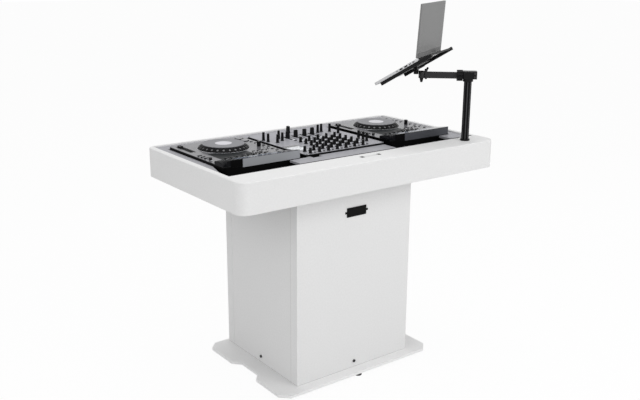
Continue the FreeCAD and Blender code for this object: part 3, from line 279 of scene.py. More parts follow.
def ridge_highlit_metal(name, colour, ridge, axis, count):
    """Black metal with paler upright bands at even angles round an upright axis: painted highlights where
    the ridges catch the light.
    """
    material, tree, shader = new_material(name)
    offset = worked_out(tree, "ShaderNodeVectorMath", "SUBTRACT", (object_coordinates(tree), axis), "Vector")
    parts = add_node(tree, "ShaderNodeSeparateXYZ", Vector=offset)
    turn = worked_out(tree, "ShaderNodeMath", "ARCTAN2", (parts.outputs["Y"], parts.outputs["X"]))
    repeat = worked_out(tree, "ShaderNodeMath", "MULTIPLY", (turn, count))
    wave = worked_out(tree, "ShaderNodeMath", "COSINE", [repeat])
    band = mapped(tree, wave, 0.0, 1.0, start=0.7, end=0.98)
    feed(tree, shader.inputs["Base Color"], mixed(tree, band, shade(colour), shade(ridge)))
    grain = add_node(tree, "ShaderNodeTexNoise", Vector=object_coordinates(tree), Scale=1400.0, Detail=3.0)
    feed(tree, shader.inputs["Roughness"], mapped(tree, grain.outputs["Fac"], 0.4, 0.5))
    shader.inputs["Specular IOR Level"].default_value = 0.12
    return material


def lit_screen(name, dark, light, glow, bands):
    """A screen that shows plain blocks of light and no words."""
    material, tree, shader = new_material(name)
    blocks = add_node(tree, "ShaderNodeTexBrick", Vector=object_coordinates(tree), Scale=bands,
                      Mortar_Size=0.03, Bias=-0.2, Color1=shade(light), Color2=shade(light, 0.8),
                      Mortar=shade(dark))
    for socket in ("Base Color", "Emission Color"):
        feed(tree, shader.inputs[socket], blocks.outputs["Color"])
    shader.inputs["Emission Strength"].default_value = glow
    shader.inputs["Roughness"].default_value = 0.2
    return material


# Finishes of the material slots, of the trim and of a few nodes
EDGE_BLACK = (0.002, 0.002, 0.0022)
EDGE_GREY = (0.05, 0.05, 0.055)
ALONG_X = (0.1, 1, 1)
ALONG_Y = (1, 0.05, 1)
WHITE_PAINT = dict(roughness=0.55, grain=620, depth=0.12, drift=0.05, drift_scale=140.0, pebbled=True)
SURFACES = {
    "white_lacquer": dict(WHITE_PAINT, colour=(0.80, 0.80, 0.80), specular=0.02),
    "bare_timber": dict(colour=(0.52, 0.38, 0.24), roughness=0.7, grain=300, depth=0.1, stretch=ALONG_X),
    # Black tray floor and battens: painted shade in the deep gaps behind the players
    "black_timber": dict(colour=(0.0015, 0.0015, 0.0015), roughness=0.8, grain=300, depth=0.1,
                         stretch=ALONG_X, specular=0.03),
    "deck_grey": dict(colour=(0.35, 0.35, 0.375), roughness=0.45, grain=700, depth=0.03, specular=0.18),
    "black_steel": dict(colour=(0.02, 0.02, 0.021), roughness=0.4, grain=1200),
    "black_plate": dict(colour=(0.003, 0.003, 0.003), roughness=0.4, grain=1500, depth=0.01, specular=0.08),
    "pale_plate": dict(colour=(0.66, 0.66, 0.66), roughness=0.4, grain=1500, depth=0.01),
    "rubber_feet": dict(colour=(0.02, 0.02, 0.02), roughness=0.8, grain=800, depth=0.05),
    "screen_glass": dict(colour=(0.015, 0.018, 0.025), roughness=0.12, grain=60, depth=0.001),
    "key_plastic": dict(colour=(0.012, 0.012, 0.013), roughness=0.5, grain=1200, specular=0.25),
    "hub_white": dict(colour=(0.64, 0.63, 0.67), roughness=0.35, depth=0.01, specular=0.2),
    "case_black": dict(colour=EDGE_BLACK, roughness=0.5, specular=0.05),
    "faceplate_grey": dict(colour=(0.33, 0.33, 0.36), roughness=0.4, grain=500, stretch=ALONG_Y,
                           specular=0.2, sides=EDGE_GREY),
    "knob_black": dict(colour=(0.005, 0.005, 0.0055), roughness=0.5, grain=1500, specular=0.1),
    "stand_black": dict(colour=(0.004, 0.004, 0.0045), roughness=0.45, grain=1400, specular=0.16),
    "laptop_silver": dict(colour=(0.55, 0.55, 0.56), roughness=0.36, grain=1600, metallic=0.4),
    "laptop_grey": dict(colour=(0.20, 0.20, 0.20), roughness=0.45, grain=1600, metallic=0.2, specular=0.2),
    "cover_grey": dict(colour=(0.135, 0.135, 0.146), roughness=0.22, grain=600, stretch=ALONG_Y,
                       specular=0.27, sides=EDGE_BLACK),
    "housing_grey": dict(colour=(0.007, 0.0075, 0.009), roughness=0.14, depth=0.003, specular=0.18),
    "jog_black": dict(colour=(0.004, 0.004, 0.0045), roughness=0.35, depth=0.01, specular=0.05),
    "button_metal": dict(colour=(0.24, 0.24, 0.25), roughness=0.35, metallic=0.8),
    "panel_grey": dict(colour=(0.33, 0.34, 0.36), roughness=0.45, specular=0.3),
    "panel_slate": dict(colour=(0.068, 0.071, 0.082), roughness=0.45, specular=0.3),
    "mark_white": dict(colour=(0.75, 0.75, 0.76), roughness=0.6, grain=1200, depth=0.005),
    "ring_pale": dict(colour=(0.60, 0.60, 0.62), roughness=0.35, grain=1200, metallic=0.3),
    # Dark plate by the jog wheels: partly a dark panel, partly a painted reflection
    "dark_glass": dict(colour=(0.006, 0.008, 0.009), roughness=0.35, depth=0.01, specular=0.04),
    # Paler dimple floors on the black jog wheel: painted glints
    "dimple_grey": dict(colour=(0.13, 0.13, 0.135), roughness=0.35, depth=0.01),
    "lamp_white": dict(colour=(0.80, 0.82, 0.85), roughness=0.4, grain=1200),
    # Grey seam strips on the white pedestal: painted shade
    "seam_grey": dict(colour=(0.55, 0.55, 0.55), roughness=0.8),
    # Dark strip on the front rail's edge: painted shade of a gap
    "joint_black": dict(colour=(0.012, 0.012, 0.013), roughness=0.8, specular=0.04),
    # The base plate's paler copy of the white lacquer: painted light on the shaded base
    "base_white": dict(WHITE_PAINT, colour=(0.88, 0.88, 0.88)),
    # Dark band on the laptop's lid by the hinge: a painted reflection
    "hinge_grey": dict(colour=(0.10, 0.10, 0.10), roughness=0.45, grain=1600, metallic=0.2, specular=0.3),
    "arm_grey": dict(colour=(0.016, 0.016, 0.017), roughness=0.45, grain=1400, depth=0.03, specular=0.3),
}
FINISHES = {name: finish(name, **look) for name, look in SURFACES.items()}

JOG_CENTRES = [(*middle(side + "_jog_plate"), top_of(side + "_jog_plate")) for side in SIDES]
FINISHES["jog_metal"] = spun_metal("jog_metal", (0.19, 0.19, 0.205), 0.4, JOG_CENTRES)

POLE_AXIS = joints["arm_swing"]["pos_m"]
POLE_RIDGES = 8
# The pole's paler ridge bands are painted highlights
FINISHES["ridged_pole"] = ridge_highlit_metal("ridged_pole", (0.003, 0.003, 0.0033), (0.09, 0.09, 0.095), POLE_AXIS,
                                       POLE_RIDGES)

SCREENS = {
    "screen_white": dict(dark=(0.35, 0.36, 0.38), light=(0.78, 0.80, 0.84), glow=0.12, bands=26.0),
    "screen_dark": dict(dark=(0.01, 0.012, 0.018), light=(0.03, 0.05, 0.09), glow=0.5, bands=18.0),
}
FINISHES.update({name: lit_screen(name, **look) for name, look in SCREENS.items()})

# Nodes that differ from the finish of their slot; the base plate's paler white is painted light
OWN_FINISHES = {"stand_pole": "ridged_pole", "stand_arm": "arm_grey", "base_plate": "base_white"}

for part in record["subparts"]:
    materials = nodes[part["node"]].data.materials
    materials.clear()
    materials.append(FINISHES[OWN_FINISHES.get(part["node"], part["material_slot"])])

# Softened edges of the solids, in millimetres
EDGE_ROUNDS = {
    "base_plate": 1.2,
    "deck_panels": 0.6,
    "name_plate": 0.5,
    "left_player_cover": 0.6,
    "right_player_cover": 0.6,
    "mixer_faceplate": 0.6,
    "left_display_housing": 2.0,
    "right_display_housing": 2.0,
    "swivel_clamp": 1.5,
    "stand_arm": 1.0,
    "rack_rails": 1.5,
    "laptop_base": 1.2,
    "laptop_lid": 0.8,
    "player_keys": 0.5,
}
SHARP_ANGLE = math.radians(40)


def soften_edges(name, width):
    """Round a solid's sharp edges a little as it is shown."""
    weld = nodes[name].modifiers.new("weld", "WELD")
    weld.merge_threshold = WELD_DISTANCE
    bevel = nodes[name].modifiers.new("soft_edges", "BEVEL")
    bevel.width = width * MM
    bevel.segments = 2
    bevel.limit_method = "ANGLE"
    bevel.angle_limit = SHARP_ANGLE
    bevel.harden_normals = True


for name, width in EDGE_ROUNDS.items():
    soften_edges(name, width)

# Mesh helpers for the trim
AXIS_SHARE = 0.02
ARC_STEPS = 24
RING_BEVEL = 0.3
RING_STEPS = 96
SMALL_RING_STEPS = 32
SCREW_BEVEL = 0.3
SCREW_SEAT = 0.2
SCREW_SOCKET = 0.5
SCREW_STEPS = 20
COVER_SCREW = dict(radius=2.6 * MM, height=0.8 * MM)


def add_box(mesh, low, high, round_over=0.0, place=Matrix()):
    """A box between two corners of a place's frame, with its edges rounded over."""
    low, high = Vector(low), Vector(high)
    size = Matrix.LocRotScale((low + high) / 2, None, high - low)
    made = bmesh.ops.create_cube(mesh, size=1.0, matrix=place @ size)
    if round_over:
        edges = list({edge for corner in made["verts"] for edge in corner.link_edges})
        bmesh.ops.bevel(mesh, geom=edges, offset=round_over, segments=2, profile=0.5, affect="EDGES")


def add_flat(mesh, x_span, y_span, top, proud, sunk=0.1 * MM, round_over=0.0):
    """A flat box that is sunk a little into a level top and stands proud of it."""
    (x0, x1), (y0, y1) = x_span, y_span
    add_box(mesh, (x0, y0, top - sunk), (x1, y1, top + proud), round_over)


def add_turning(mesh, profile, place, steps):
    """A closed profile of radius and height points turned about a place's Z axis."""
    rings = []
    for step in range(steps):
        turn = 2 * math.pi * step / steps
        rings.append([mesh.verts.new(place @ Vector((r * math.cos(turn), r * math.sin(turn), z)))
                      for r, z in profile])
    count = len(profile)
    for step in range(steps):
        here, there = rings[step], rings[(step + 1) % steps]
        for k in range(count):
            after = (k + 1) % count
            mesh.faces.new((here[k], there[k], there[after], here[after]))


def add_ring(mesh, inner, outer, height, place, steps=RING_STEPS):
    """A flat ring with its top edges bevelled."""
    edge = RING_BEVEL * min(height, outer - inner)
    add_turning(mesh, [(inner, 0), (outer, 0), (outer, height - edge), (outer - edge, height),
                       (inner + edge, height), (inner, height - edge)], place, steps)


def add_slab(mesh, outline, bottom, top):
    """An outline in plan raised between two heights."""
    lower = [mesh.verts.new((x, y, bottom)) for x, y in outline]
    upper = [mesh.verts.new((x, y, top)) for x, y in outline]
    mesh.faces.new(upper)
    mesh.faces.new(lower[::-1])
    count = len(outline)
    for k in range(count):
        after = (k + 1) % count
        mesh.faces.new((lower[k], lower[after], upper[after], upper[k]))


def arc(x, y, radius, start, end):
    """Points in plan along part of a circle, between two angles."""
    turns = spread(start, end, ARC_STEPS + 1)
    return [(x + radius * math.cos(turn), y + radius * math.sin(turn)) for turn in turns]


def add_screw(mesh, place, radius, height):
    """A socket screw's head: a bevelled disc with a socket."""
    edge = height * SCREW_BEVEL
    axis, socket = radius * AXIS_SHARE, radius * SCREW_SOCKET
    bottom, floor = -height * SCREW_SEAT, height * SCREW_BEVEL
    profile = [(axis, bottom), (radius, bottom), (radius, height - edge), (radius - edge, height),
               (socket, height), (socket, floor), (axis, floor)]
    add_turning(mesh, profile, place, SCREW_STEPS)


def add_piece(name, mesh, surface, body="booth", smooth=False):
    """Turn a finished mesh into a piece that rides on a body."""
    bmesh.ops.recalc_face_normals(mesh, faces=mesh.faces)
    data = bpy.data.meshes.new(name)
    mesh.to_mesh(data)
    mesh.free()
    for face in data.polygons:
        face.use_smooth = smooth
    piece = bpy.data.objects.new(name, data)
    bpy.context.scene.collection.objects.link(piece)
    data.materials.append(FINISHES[surface])
    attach(piece, body)


# Faders of the players and the mixer
SLOT_HALF = 2.6 * MM
SCALE_TICKS = 11
PRINT_PROUD = 0.12 * MM
CAP_MARGIN = 1 * MM
CAP_LINE_HALF_HEIGHT = 0.4 * MM


def add_slot_strips(mesh, x, reach, y_span, top):
    """A dark strip on either side of a fader's slot."""
    for x_span in ((x - reach, x - SLOT_HALF), (x + SLOT_HALF, x + reach)):
        add_flat(mesh, x_span, y_span, top, proud=0.3 * MM, round_over=0.1 * MM)


def cap_line(name, fader, body, half, drop, is_cross=False):
    """The pale line over a fader's cap, square to its slide."""
    low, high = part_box(fader)
    x, y = middle(fader)
    x_span, y_span = (low.x + CAP_MARGIN, high.x - CAP_MARGIN), around(y, half)
    if is_cross:
        x_span, y_span = around(x, half), (low.y + CAP_MARGIN, high.y - CAP_MARGIN)
    mesh = bmesh.new()
    add_flat(mesh, x_span, y_span, high.z - drop, CAP_LINE_HALF_HEIGHT, sunk=CAP_LINE_HALF_HEIGHT)
    add_piece(name, mesh, "mark_white", body)


# Backs of the media players
CASE_CORNER = 10 * MM
SOCKET_PANEL_LEFT = 26 * MM
SOCKET_PANEL_RIGHT = 72 * MM
SOCKET_FRAME_WIDTH = 2 * MM
SOCKET_FRAME_PROUD = 1.6 * MM
PANEL_DROP = 7 * MM
PANEL_HEADROOM = 2 * MM
PANEL_SEAT = 0.4 * MM
PANEL_PROUD = 1.4 * MM
PANEL_GAP = 1.5 * MM
PANEL_BEND = (math.radians(-90), math.radians(-30))
REAR_PANEL_DROP = 1.5 * MM
REAR_PANEL_RISE = 1 * MM
REAR_PANEL_SURFACES = {"left": "panel_grey", "right": "panel_slate"}


def player_rear_panels(side):
    """The framed black socket panel and the plain panel on a player's back."""
    low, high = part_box(side + "_display_housing")
    left, split = low.x + SOCKET_PANEL_LEFT, low.x + SOCKET_PANEL_RIGHT
    bottom, top = low.z - PANEL_DROP, high.z - PANEL_HEADROOM
    back = low.y + PANEL_SEAT
    width = SOCKET_FRAME_WIDTH
    mesh = bmesh.new()
    add_box(mesh, (left, low.y - PANEL_SEAT, bottom), (split, back, top), round_over=0.2 * MM)
    for x0, x1, z0, z1 in ((left, split, top - width, top), (left, split, bottom, bottom + width),
                           (left, left + width, bottom, top), (split - width, split, bottom, top)):
        add_box(mesh, (x0, low.y - SOCKET_FRAME_PROUD, z0), (x1, back, z1), round_over=0.4 * MM)
    add_piece(side + "_socket_panel", mesh, "case_black")
    centre = (high.x - CASE_CORNER, low.y + CASE_CORNER)
    outside = arc(*centre, CASE_CORNER + PANEL_PROUD, *PANEL_BEND)
    inside = arc(*centre, CASE_CORNER - PANEL_SEAT, *PANEL_BEND)
    edge = split + PANEL_GAP
    outline = [(edge, back), (edge, low.y - PANEL_PROUD)] + outside + inside[::-1]
    mesh = bmesh.new()
    add_slab(mesh, outline, bottom - REAR_PANEL_DROP, top + REAR_PANEL_RISE)
    add_piece(side + "_rear_panel", mesh, REAR_PANEL_SURFACES[side])


# Dark plates and jog wheels of the media players
DARK_PLATE_LEFT = 54 * MM
DARK_PLATE_RIGHT = 200 * MM
DARK_PLATE_GAP = 8 * MM
DARK_PLATE_REACH = 34 * MM
DARK_PLATE_CLEARANCE = 4 * MM
JOG_RING_GAP = 0.8 * MM
JOG_RING_WIDTH = 1.4 * MM
BUTTON_RING_GAP = 1 * MM
BUTTON_RING_WIDTH = 3 * MM
DARK_RING_HEIGHT = 1.2 * MM
PALE_RING_HEIGHT = 0.8 * MM
JOG_DIMPLES = 24
JOG_SKIRT = 3 * MM
DIMPLE_FLOOR_DEPTH = 2.4 * MM
DIMPLE_FLOOR_RADIUS = 4.2 * MM
DIMPLE_DISH = ((AXIS_SHARE, -0.2), (1.0, -0.2), (1.0, 0.1), (0.6, 0.0), (AXIS_SHARE, -0.05))


def player_dark_plate(side):
    """The dark plate between a jog wheel and its display, cut round the wheel: partly a dark panel, partly a
    painted reflection of the dark wheel in the cover.
    """
    low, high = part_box(side + "_player_cover")
    x, y = middle(side + "_jog_wheel")
    radius = radius_of(side + "_jog_wheel") + DARK_PLATE_CLEARANCE
    left, right = low.x + DARK_PLATE_LEFT, low.x + DARK_PLATE_RIGHT
    rear = display_edge(side) + DARK_PLATE_GAP
    # Round the wheel's near side the plate is a painted reflection of the wheel in the cover
    start = -math.acos((right - x) / radius)
    end = math.asin(1 - DARK_PLATE_REACH / radius) - math.pi
    outline = [(left, rear), (right, rear)] + arc(x, y, radius, start, end)
    outline.append((left, y - radius + DARK_PLATE_REACH))
    mesh = bmesh.new()
    add_slab(mesh, outline, high.z - 0.2 * MM, high.z + 0.6 * MM)
    add_piece(side + "_dark_plate", mesh, "dark_glass")


def player_rings(side):
    """The dark and pale rings round a jog wheel and the dark rings round the buttons."""
    top = top_of(side + "_player_cover")
    dark, pale = bmesh.new(), bmesh.new()
    place = at(*middle(side + "_jog_wheel"), top)
    inner = radius_of(side + "_jog_wheel") + JOG_RING_GAP
    outer = inner + JOG_RING_WIDTH
    add_ring(dark, inner, outer, DARK_RING_HEIGHT, place)
    add_ring(pale, outer, outer + JOG_RING_WIDTH, PALE_RING_HEIGHT, place)
    for button in ("_play_button", "_cue_button"):
        inner = radius_of(side + button) + BUTTON_RING_GAP
        add_ring(dark, inner, inner + BUTTON_RING_WIDTH, DARK_RING_HEIGHT, at(*middle(side + button), top))
    add_piece(side + "_dark_rings", dark, "knob_black", smooth=True)
    add_piece(side + "_jog_ring", pale, "ring_pale", smooth=True)


def jog_dimple_glints(side):
    """A paler dished floor in every dimple of a jog wheel: painted glints where the dimples catch the light.
    """
    low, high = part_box(side + "_jog_wheel")
    outer, inner = radius_of(side + "_jog_wheel"), radius_of(side + "_jog_plate")
    skirt = low.z + JOG_SKIRT
    lean = math.atan2(high.z - skirt, outer - inner)
    reach = (outer + inner) / 2 - DIMPLE_FLOOR_DEPTH * math.sin(lean)
    height = (high.z + skirt) / 2 - DIMPLE_FLOOR_DEPTH * math.cos(lean)
    dish = [(DIMPLE_FLOOR_RADIUS * r, DIMPLE_FLOOR_RADIUS * z) for r, z in DIMPLE_DISH]
    slope = at(reach, 0, height) @ Matrix.Rotation(lean, 4, "Y")
    mesh = bmesh.new()
    for number in range(JOG_DIMPLES):
        turn = Matrix.Rotation(2 * math.pi * number / JOG_DIMPLES, 4, "Z")
        add_turning(mesh, dish, at(*middle(side + "_jog_wheel"), 0) @ turn @ slope, steps=16)
    add_piece(side + "_dimple_floors", mesh, "dimple_grey", side + "_jog", smooth=True)


# Tempo faders, keys and fixings of the media players, with their tables in millimetres
TEMPO_STRIP_REACH = 12 * MM
TEMPO_STRIP_OVERRUN = 9 * MM
TEMPO_SCALE_START = 13.5 * MM
TEMPO_TICK_HALF = 0.3 * MM
LONG_TICK = 5 * MM
SHORT_TICK = 3 * MM
TICKS_PER_LONG_TICK = 5
NEAR_ROW = [(85 + 19 * number, 58) for number in range(5)]
FAR_ROW = [(42 + 20 * number, 82) for number in range(4)]
SIDE_COLUMN = [(18, 50 + 30 * number) for number in range(7)]
SMALL_KEY_HALF_WIDTH = 6 * MM
SMALL_KEY_HALF_DEPTH = 3.5 * MM
KEY_MARK_HALF_WIDTH = 5 * MM
KEY_MARK_START = 8 * MM
KEY_MARK_END = 6.4 * MM
COVER_SCREW_INSET = 10 * MM
COVER_SCREW_GAP = 12 * MM
SOCKET_HEIGHT = 40 * MM
ROUND_SOCKETS = 4
ROUND_SOCKET_START = 60 * MM
ROUND_SOCKET_PITCH = 22 * MM
ROUND_SOCKET_PROFILE = ((2.5, 0), (5.5, 0), (5.5, 2), (4, 2), (4, 8), (2.5, 8))
SQUARE_SOCKETS = ((90, 30, 20), (50, 18, 16))
SELECTOR_RING_INNER = 0.45
SELECTOR_RING_OUTER = 0.6
KEY_LAMP_MARGIN = 2 * MM
KEY_LAMP_START = 4 * MM
KEY_LAMP_END = 2.4 * MM


def player_tempo_marks(side):
    """Dark strips beside the tempo slot, its scale and the line on its cap."""
    x, y = middle(side + "_tempo_fader")
    first, last = slide_span(side + "_tempo_slide", y)
    top = top_of(side + "_player_cover")
    mesh = bmesh.new()
    add_slot_strips(mesh, x, TEMPO_STRIP_REACH,
                    (first - TEMPO_STRIP_OVERRUN, last + TEMPO_STRIP_OVERRUN), top)
    add_piece(side + "_tempo_strips", mesh, "case_black")
    mesh = bmesh.new()
    start = x + TEMPO_SCALE_START
    for tick, spot in enumerate(spread(first, last, SCALE_TICKS)):
        length = SHORT_TICK if tick % TICKS_PER_LONG_TICK else LONG_TICK
        add_flat(mesh, (start, start + length), around(spot, TEMPO_TICK_HALF), top, PRINT_PROUD)
    add_piece(side + "_tempo_scale", mesh, "mark_white")
    cap_line(side + "_tempo_line", side + "_tempo_fader", side + "_tempo", half=0.6 * MM, drop=2 * MM)


def player_small_keys(side):
    """Rows of small keys before a jog wheel and a column beside it, with a pale mark behind each key."""
    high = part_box(side + "_player_cover")[1]
    keys, marks = bmesh.new(), bmesh.new()
    for inset, reach in NEAR_ROW + FAR_ROW + SIDE_COLUMN:
        x, y = high.x - inset * MM, display_edge(side) + reach * MM
        add_flat(keys, around(x, SMALL_KEY_HALF_WIDTH), around(y, SMALL_KEY_HALF_DEPTH), high.z,
                 proud=2.2 * MM, sunk=0.2 * MM, round_over=0.7 * MM)
        add_flat(marks, around(x, KEY_MARK_HALF_WIDTH), (y - KEY_MARK_START, y - KEY_MARK_END), high.z,
                 proud=0.8 * MM, round_over=0.05 * MM)
    add_piece(side + "_small_keys", keys, "key_plastic")
    add_piece(side + "_key_marks", marks, "mark_white")


def player_fixings(side):
    """Screws in the corners of a player's cover and rows of sockets on its back."""
    low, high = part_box(side + "_player_cover")
    mesh = bmesh.new()
    for x in (low.x + COVER_SCREW_INSET, high.x - COVER_SCREW_INSET):
        for y in (display_edge(side) + COVER_SCREW_GAP, high.y - COVER_SCREW_INSET):
            add_screw(mesh, at(x, y, high.z), **COVER_SCREW)
    add_piece(side + "_cover_screws", mesh, "button_metal")
    low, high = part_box(side + "_player_case")
    facing = Matrix.Rotation(math.radians(90), 4, "X")
    collar = [(r * MM, z * MM) for r, z in ROUND_SOCKET_PROFILE]
    mesh = bmesh.new()
    for number in range(ROUND_SOCKETS):
        x = low.x + ROUND_SOCKET_START + ROUND_SOCKET_PITCH * number
        add_turning(mesh, collar, at(x, low.y, low.z + SOCKET_HEIGHT) @ facing, steps=24)
    for inset, length, height in SQUARE_SOCKETS:
        bottom, top = around(low.z + SOCKET_HEIGHT, height / 2 * MM)
        add_box(mesh, (high.x - inset * MM, low.y - 2 * MM, bottom),
                (high.x - (inset - length) * MM, low.y + 1 * MM, top), round_over=0.6 * MM)
    add_piece(side + "_rear_sockets", mesh, "black_steel")


def selector_ring(side):
    """A pale ring on top of a selector knob."""
    knob = side + "_selector_knob"
    radius = radius_of(knob)
    place = at(*middle(knob), top_of(knob) - 0.05 * MM)
    mesh = bmesh.new()
    add_ring(mesh, radius * SELECTOR_RING_INNER, radius * SELECTOR_RING_OUTER, 0.3 * MM, place,
             SMALL_RING_STEPS)
    add_piece(side + "_selector_ring", mesh, "ring_pale", side + "_selector", smooth=True)


def key_lamps():
    """A pale lamp behind every raised key of the players."""
    top = top_of("left_player_cover")
    mesh = bmesh.new()
    for low, high in islands("player_keys"):
        add_flat(mesh, (low.x + KEY_LAMP_MARGIN, high.x - KEY_LAMP_MARGIN),
                 (low.y - KEY_LAMP_START, low.y - KEY_LAMP_END), top, proud=0.9 * MM, sunk=0.2 * MM,
                 round_over=0.2 * MM)
    add_piece("player_key_lamps", mesh, "lamp_white")


# Knobs of the mixer, with their angles in degrees
KNOB_FOOT_OVERLAP = 0.3 * MM
KNOB_FOOT_WIDTH = 1.4 * MM
KNOB_MARKS = 9
KNOB_SCALE = (-45, 225)
KNOB_SCALE_GAP = 3.4 * MM
KNOB_DOT_HALF = 0.4 * MM
POINTER_STEP = 47
POINTER_SWEEP = 150
POINTER_HALF_WIDTH = 0.6 * MM
POINTER_START = 1 * MM
POINTER_REACH = 0.75
TALL_KNOB = 25 * MM
KNOB_KEY_OFFSET = 21 * MM
KNOB_KEY_HALF_WIDTH = 4 * MM
KNOB_KEY_HALF_DEPTH = 3 * MM
KNOB_LAMP_START = 12 * MM
KNOB_LAMP_END = 18 * MM


def knob_marks():
    """A foot ring, a pointer and a printed scale for every knob of the mixer."""
    plate = top_of("mixer_faceplate")
    feet, pointers, scale = bmesh.new(), bmesh.new(), bmesh.new()
    for number, (low, high) in enumerate(islands("mixer_knobs")):
        x, y = box_middle(low, high)
        radius = (high.x - low.x) / 2
        add_ring(feet, radius - KNOB_FOOT_OVERLAP, radius + KNOB_FOOT_WIDTH, DARK_RING_HEIGHT,
                 at(x, y, plate), SMALL_RING_STEPS)
        set_to = math.radians(number * POINTER_STEP % POINTER_SWEEP - POINTER_SWEEP / 2)
        add_box(pointers, (-POINTER_HALF_WIDTH, POINTER_START, -0.1 * MM),
                (POINTER_HALF_WIDTH, POINTER_REACH * radius, 0.25 * MM),
                place=at(x, y, high.z) @ Matrix.Rotation(set_to, 4, "Z"))
        reach = radius + KNOB_SCALE_GAP
        for angle in map(math.radians, spread(*KNOB_SCALE, KNOB_MARKS)):
            add_flat(scale, around(x + reach * math.cos(angle), KNOB_DOT_HALF),
                     around(y + reach * math.sin(angle), KNOB_DOT_HALF), plate, proud=0.1 * MM)
    add_piece("knob_feet", feet, "knob_black", smooth=True)
    add_piece("knob_pointers", pointers, "mark_white")
    add_piece("knob_scales", scale, "mark_white")


def knob_row_keys():
    """Small dark keys and pale lamps between the rows of knobs."""
    plate = top_of("mixer_faceplate")
    keys, lamps = bmesh.new(), bmesh.new()
    for low, high in islands("mixer_knobs"):
        if high.z - low.z > TALL_KNOB:
            continue
        x, y = box_middle(low, high)
        x_span = around(x + KNOB_KEY_OFFSET, KNOB_KEY_HALF_WIDTH)
        add_flat(keys, x_span, around(y, KNOB_KEY_HALF_DEPTH), plate, proud=2.6 * MM, sunk=0.2 * MM,
                 round_over=0.8 * MM)
        add_flat(lamps, x_span, (y + KNOB_LAMP_START, y + KNOB_LAMP_END), plate, proud=1.6 * MM,
                 sunk=0.2 * MM, round_over=0.5 * MM)
    add_piece("knob_row_keys", keys, "key_plastic")
    add_piece("knob_row_lamps", lamps, "lamp_white")


# Channels, buttons and screens
CHANNEL_STRIP_REACH = 5.5 * MM
CHANNEL_STRIP_OVERRUN = 5 * MM
CHANNEL_SCALE_STARTS = (-13 * MM, 9 * MM)
CHANNEL_TICK = 4 * MM
CHANNEL_TICK_HALF = 0.25 * MM
METER_START = 18 * MM
METER_WIDTH = 5 * MM
METER_HEIGHT = 0.5 * MM
METER_LAMPS = 12
METER_LAMP_MARGIN = 1 * MM
METER_LAMP_HALF = 1.6 * MM
CAP_LINE = dict(half=0.5 * MM, drop=1.8 * MM)
BUTTON_ROWS = 2
BUTTON_START = 14 * MM
BUTTON_PITCH = 13 * MM
BUTTON_HALF_WIDTH = 5 * MM
BUTTON_HALF_DEPTH = 3.5 * MM
PLATE_SCREW_X = 8 * MM
PLATE_SCREW_Y = 6 * MM
SCREEN_INSET = 3 * MM
SCREEN_THICKNESS = 1.5 * MM
PICTURE_RISE = 0.15 * MM
PICTURE_DEPTH = 0.1 * MM
MIXER_SCREEN_BORDER = 24 * MM
MIXER_HALF_SPAN = 250 * MM


def add_meter(meters, lamps, x, first, last, plate):
    """A channel's level meter and the row of lamps on it."""
    start, end = x + METER_START, x + METER_START + METER_WIDTH
    add_flat(meters, (start, end), (first, last), plate, METER_HEIGHT, round_over=0.2 * MM)
    half_pitch = (last - first) / METER_LAMPS / 2
    for spot in spread(first + half_pitch, last - half_pitch, METER_LAMPS):
        add_flat(lamps, (start + METER_LAMP_MARGIN, end - METER_LAMP_MARGIN), around(spot, METER_LAMP_HALF),
                 plate + METER_HEIGHT, proud=0.2 * MM, sunk=0.2 * MM, round_over=0.1 * MM)


def fader_marks():
    """The strips, scale and level meter of every channel, and the line on every cap."""
    plate = top_of("mixer_faceplate")
    strips, scale, meters, lamps = bmesh.new(), bmesh.new(), bmesh.new(), bmesh.new()
    for channel in CHANNELS:
        fader = "channel_fader_%d" % channel
        x, y = middle(fader)
        first, last = slide_span("channel_%d_slide" % channel, y)
        add_slot_strips(strips, x, CHANNEL_STRIP_REACH,
                        (first - CHANNEL_STRIP_OVERRUN, last + CHANNEL_STRIP_OVERRUN), plate)
        for spot in spread(first, last, SCALE_TICKS):
            for start in CHANNEL_SCALE_STARTS:
                x_span = (x + start, x + start + CHANNEL_TICK)
                add_flat(scale, x_span, around(spot, CHANNEL_TICK_HALF), plate, PRINT_PROUD)
        add_meter(meters, lamps, x, first, last, plate)
        cap_line("channel_%d_line" % channel, fader, "channel_%d" % channel, **CAP_LINE)
    add_piece("channel_strips", strips, "case_black")
    add_piece("channel_scales", scale, "mark_white")
    add_piece("channel_meters", meters, "black_plate")
    add_piece("channel_lamps", lamps, "panel_grey")
    cap_line("crossfader_line", "crossfader", "crossfade", **CAP_LINE, is_cross=True)


def mixer_buttons():
    """Rows of small lit buttons between the knobs and the faders, and the screws of the faceplate."""
    low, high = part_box("mixer_faceplate")
    lit, dark = bmesh.new(), bmesh.new()
    for channel in CHANNELS:
        x, y = middle("channel_fader_%d" % channel)
        slot_end = slide_span("channel_%d_slide" % channel, y)[0]
        for row in range(BUTTON_ROWS):
            spot = slot_end - BUTTON_START - BUTTON_PITCH * row
            mesh = lit if (channel + row) % 2 else dark
            add_flat(mesh, around(x, BUTTON_HALF_WIDTH), around(spot, BUTTON_HALF_DEPTH), high.z,
                     proud=2.4 * MM, sunk=0.2 * MM, round_over=0.8 * MM)
    add_piece("mixer_lit_buttons", lit, "lamp_white")
    add_piece("mixer_dark_buttons", dark, "key_plastic")
    screws = bmesh.new()
    for x in (low.x + PLATE_SCREW_X, 0.0, high.x - PLATE_SCREW_X):
        for y in (low.y + PLATE_SCREW_Y, high.y - PLATE_SCREW_Y):
            add_screw(screws, at(x, y, high.z), **COVER_SCREW)
    add_piece("mixer_screws", screws, "black_steel")


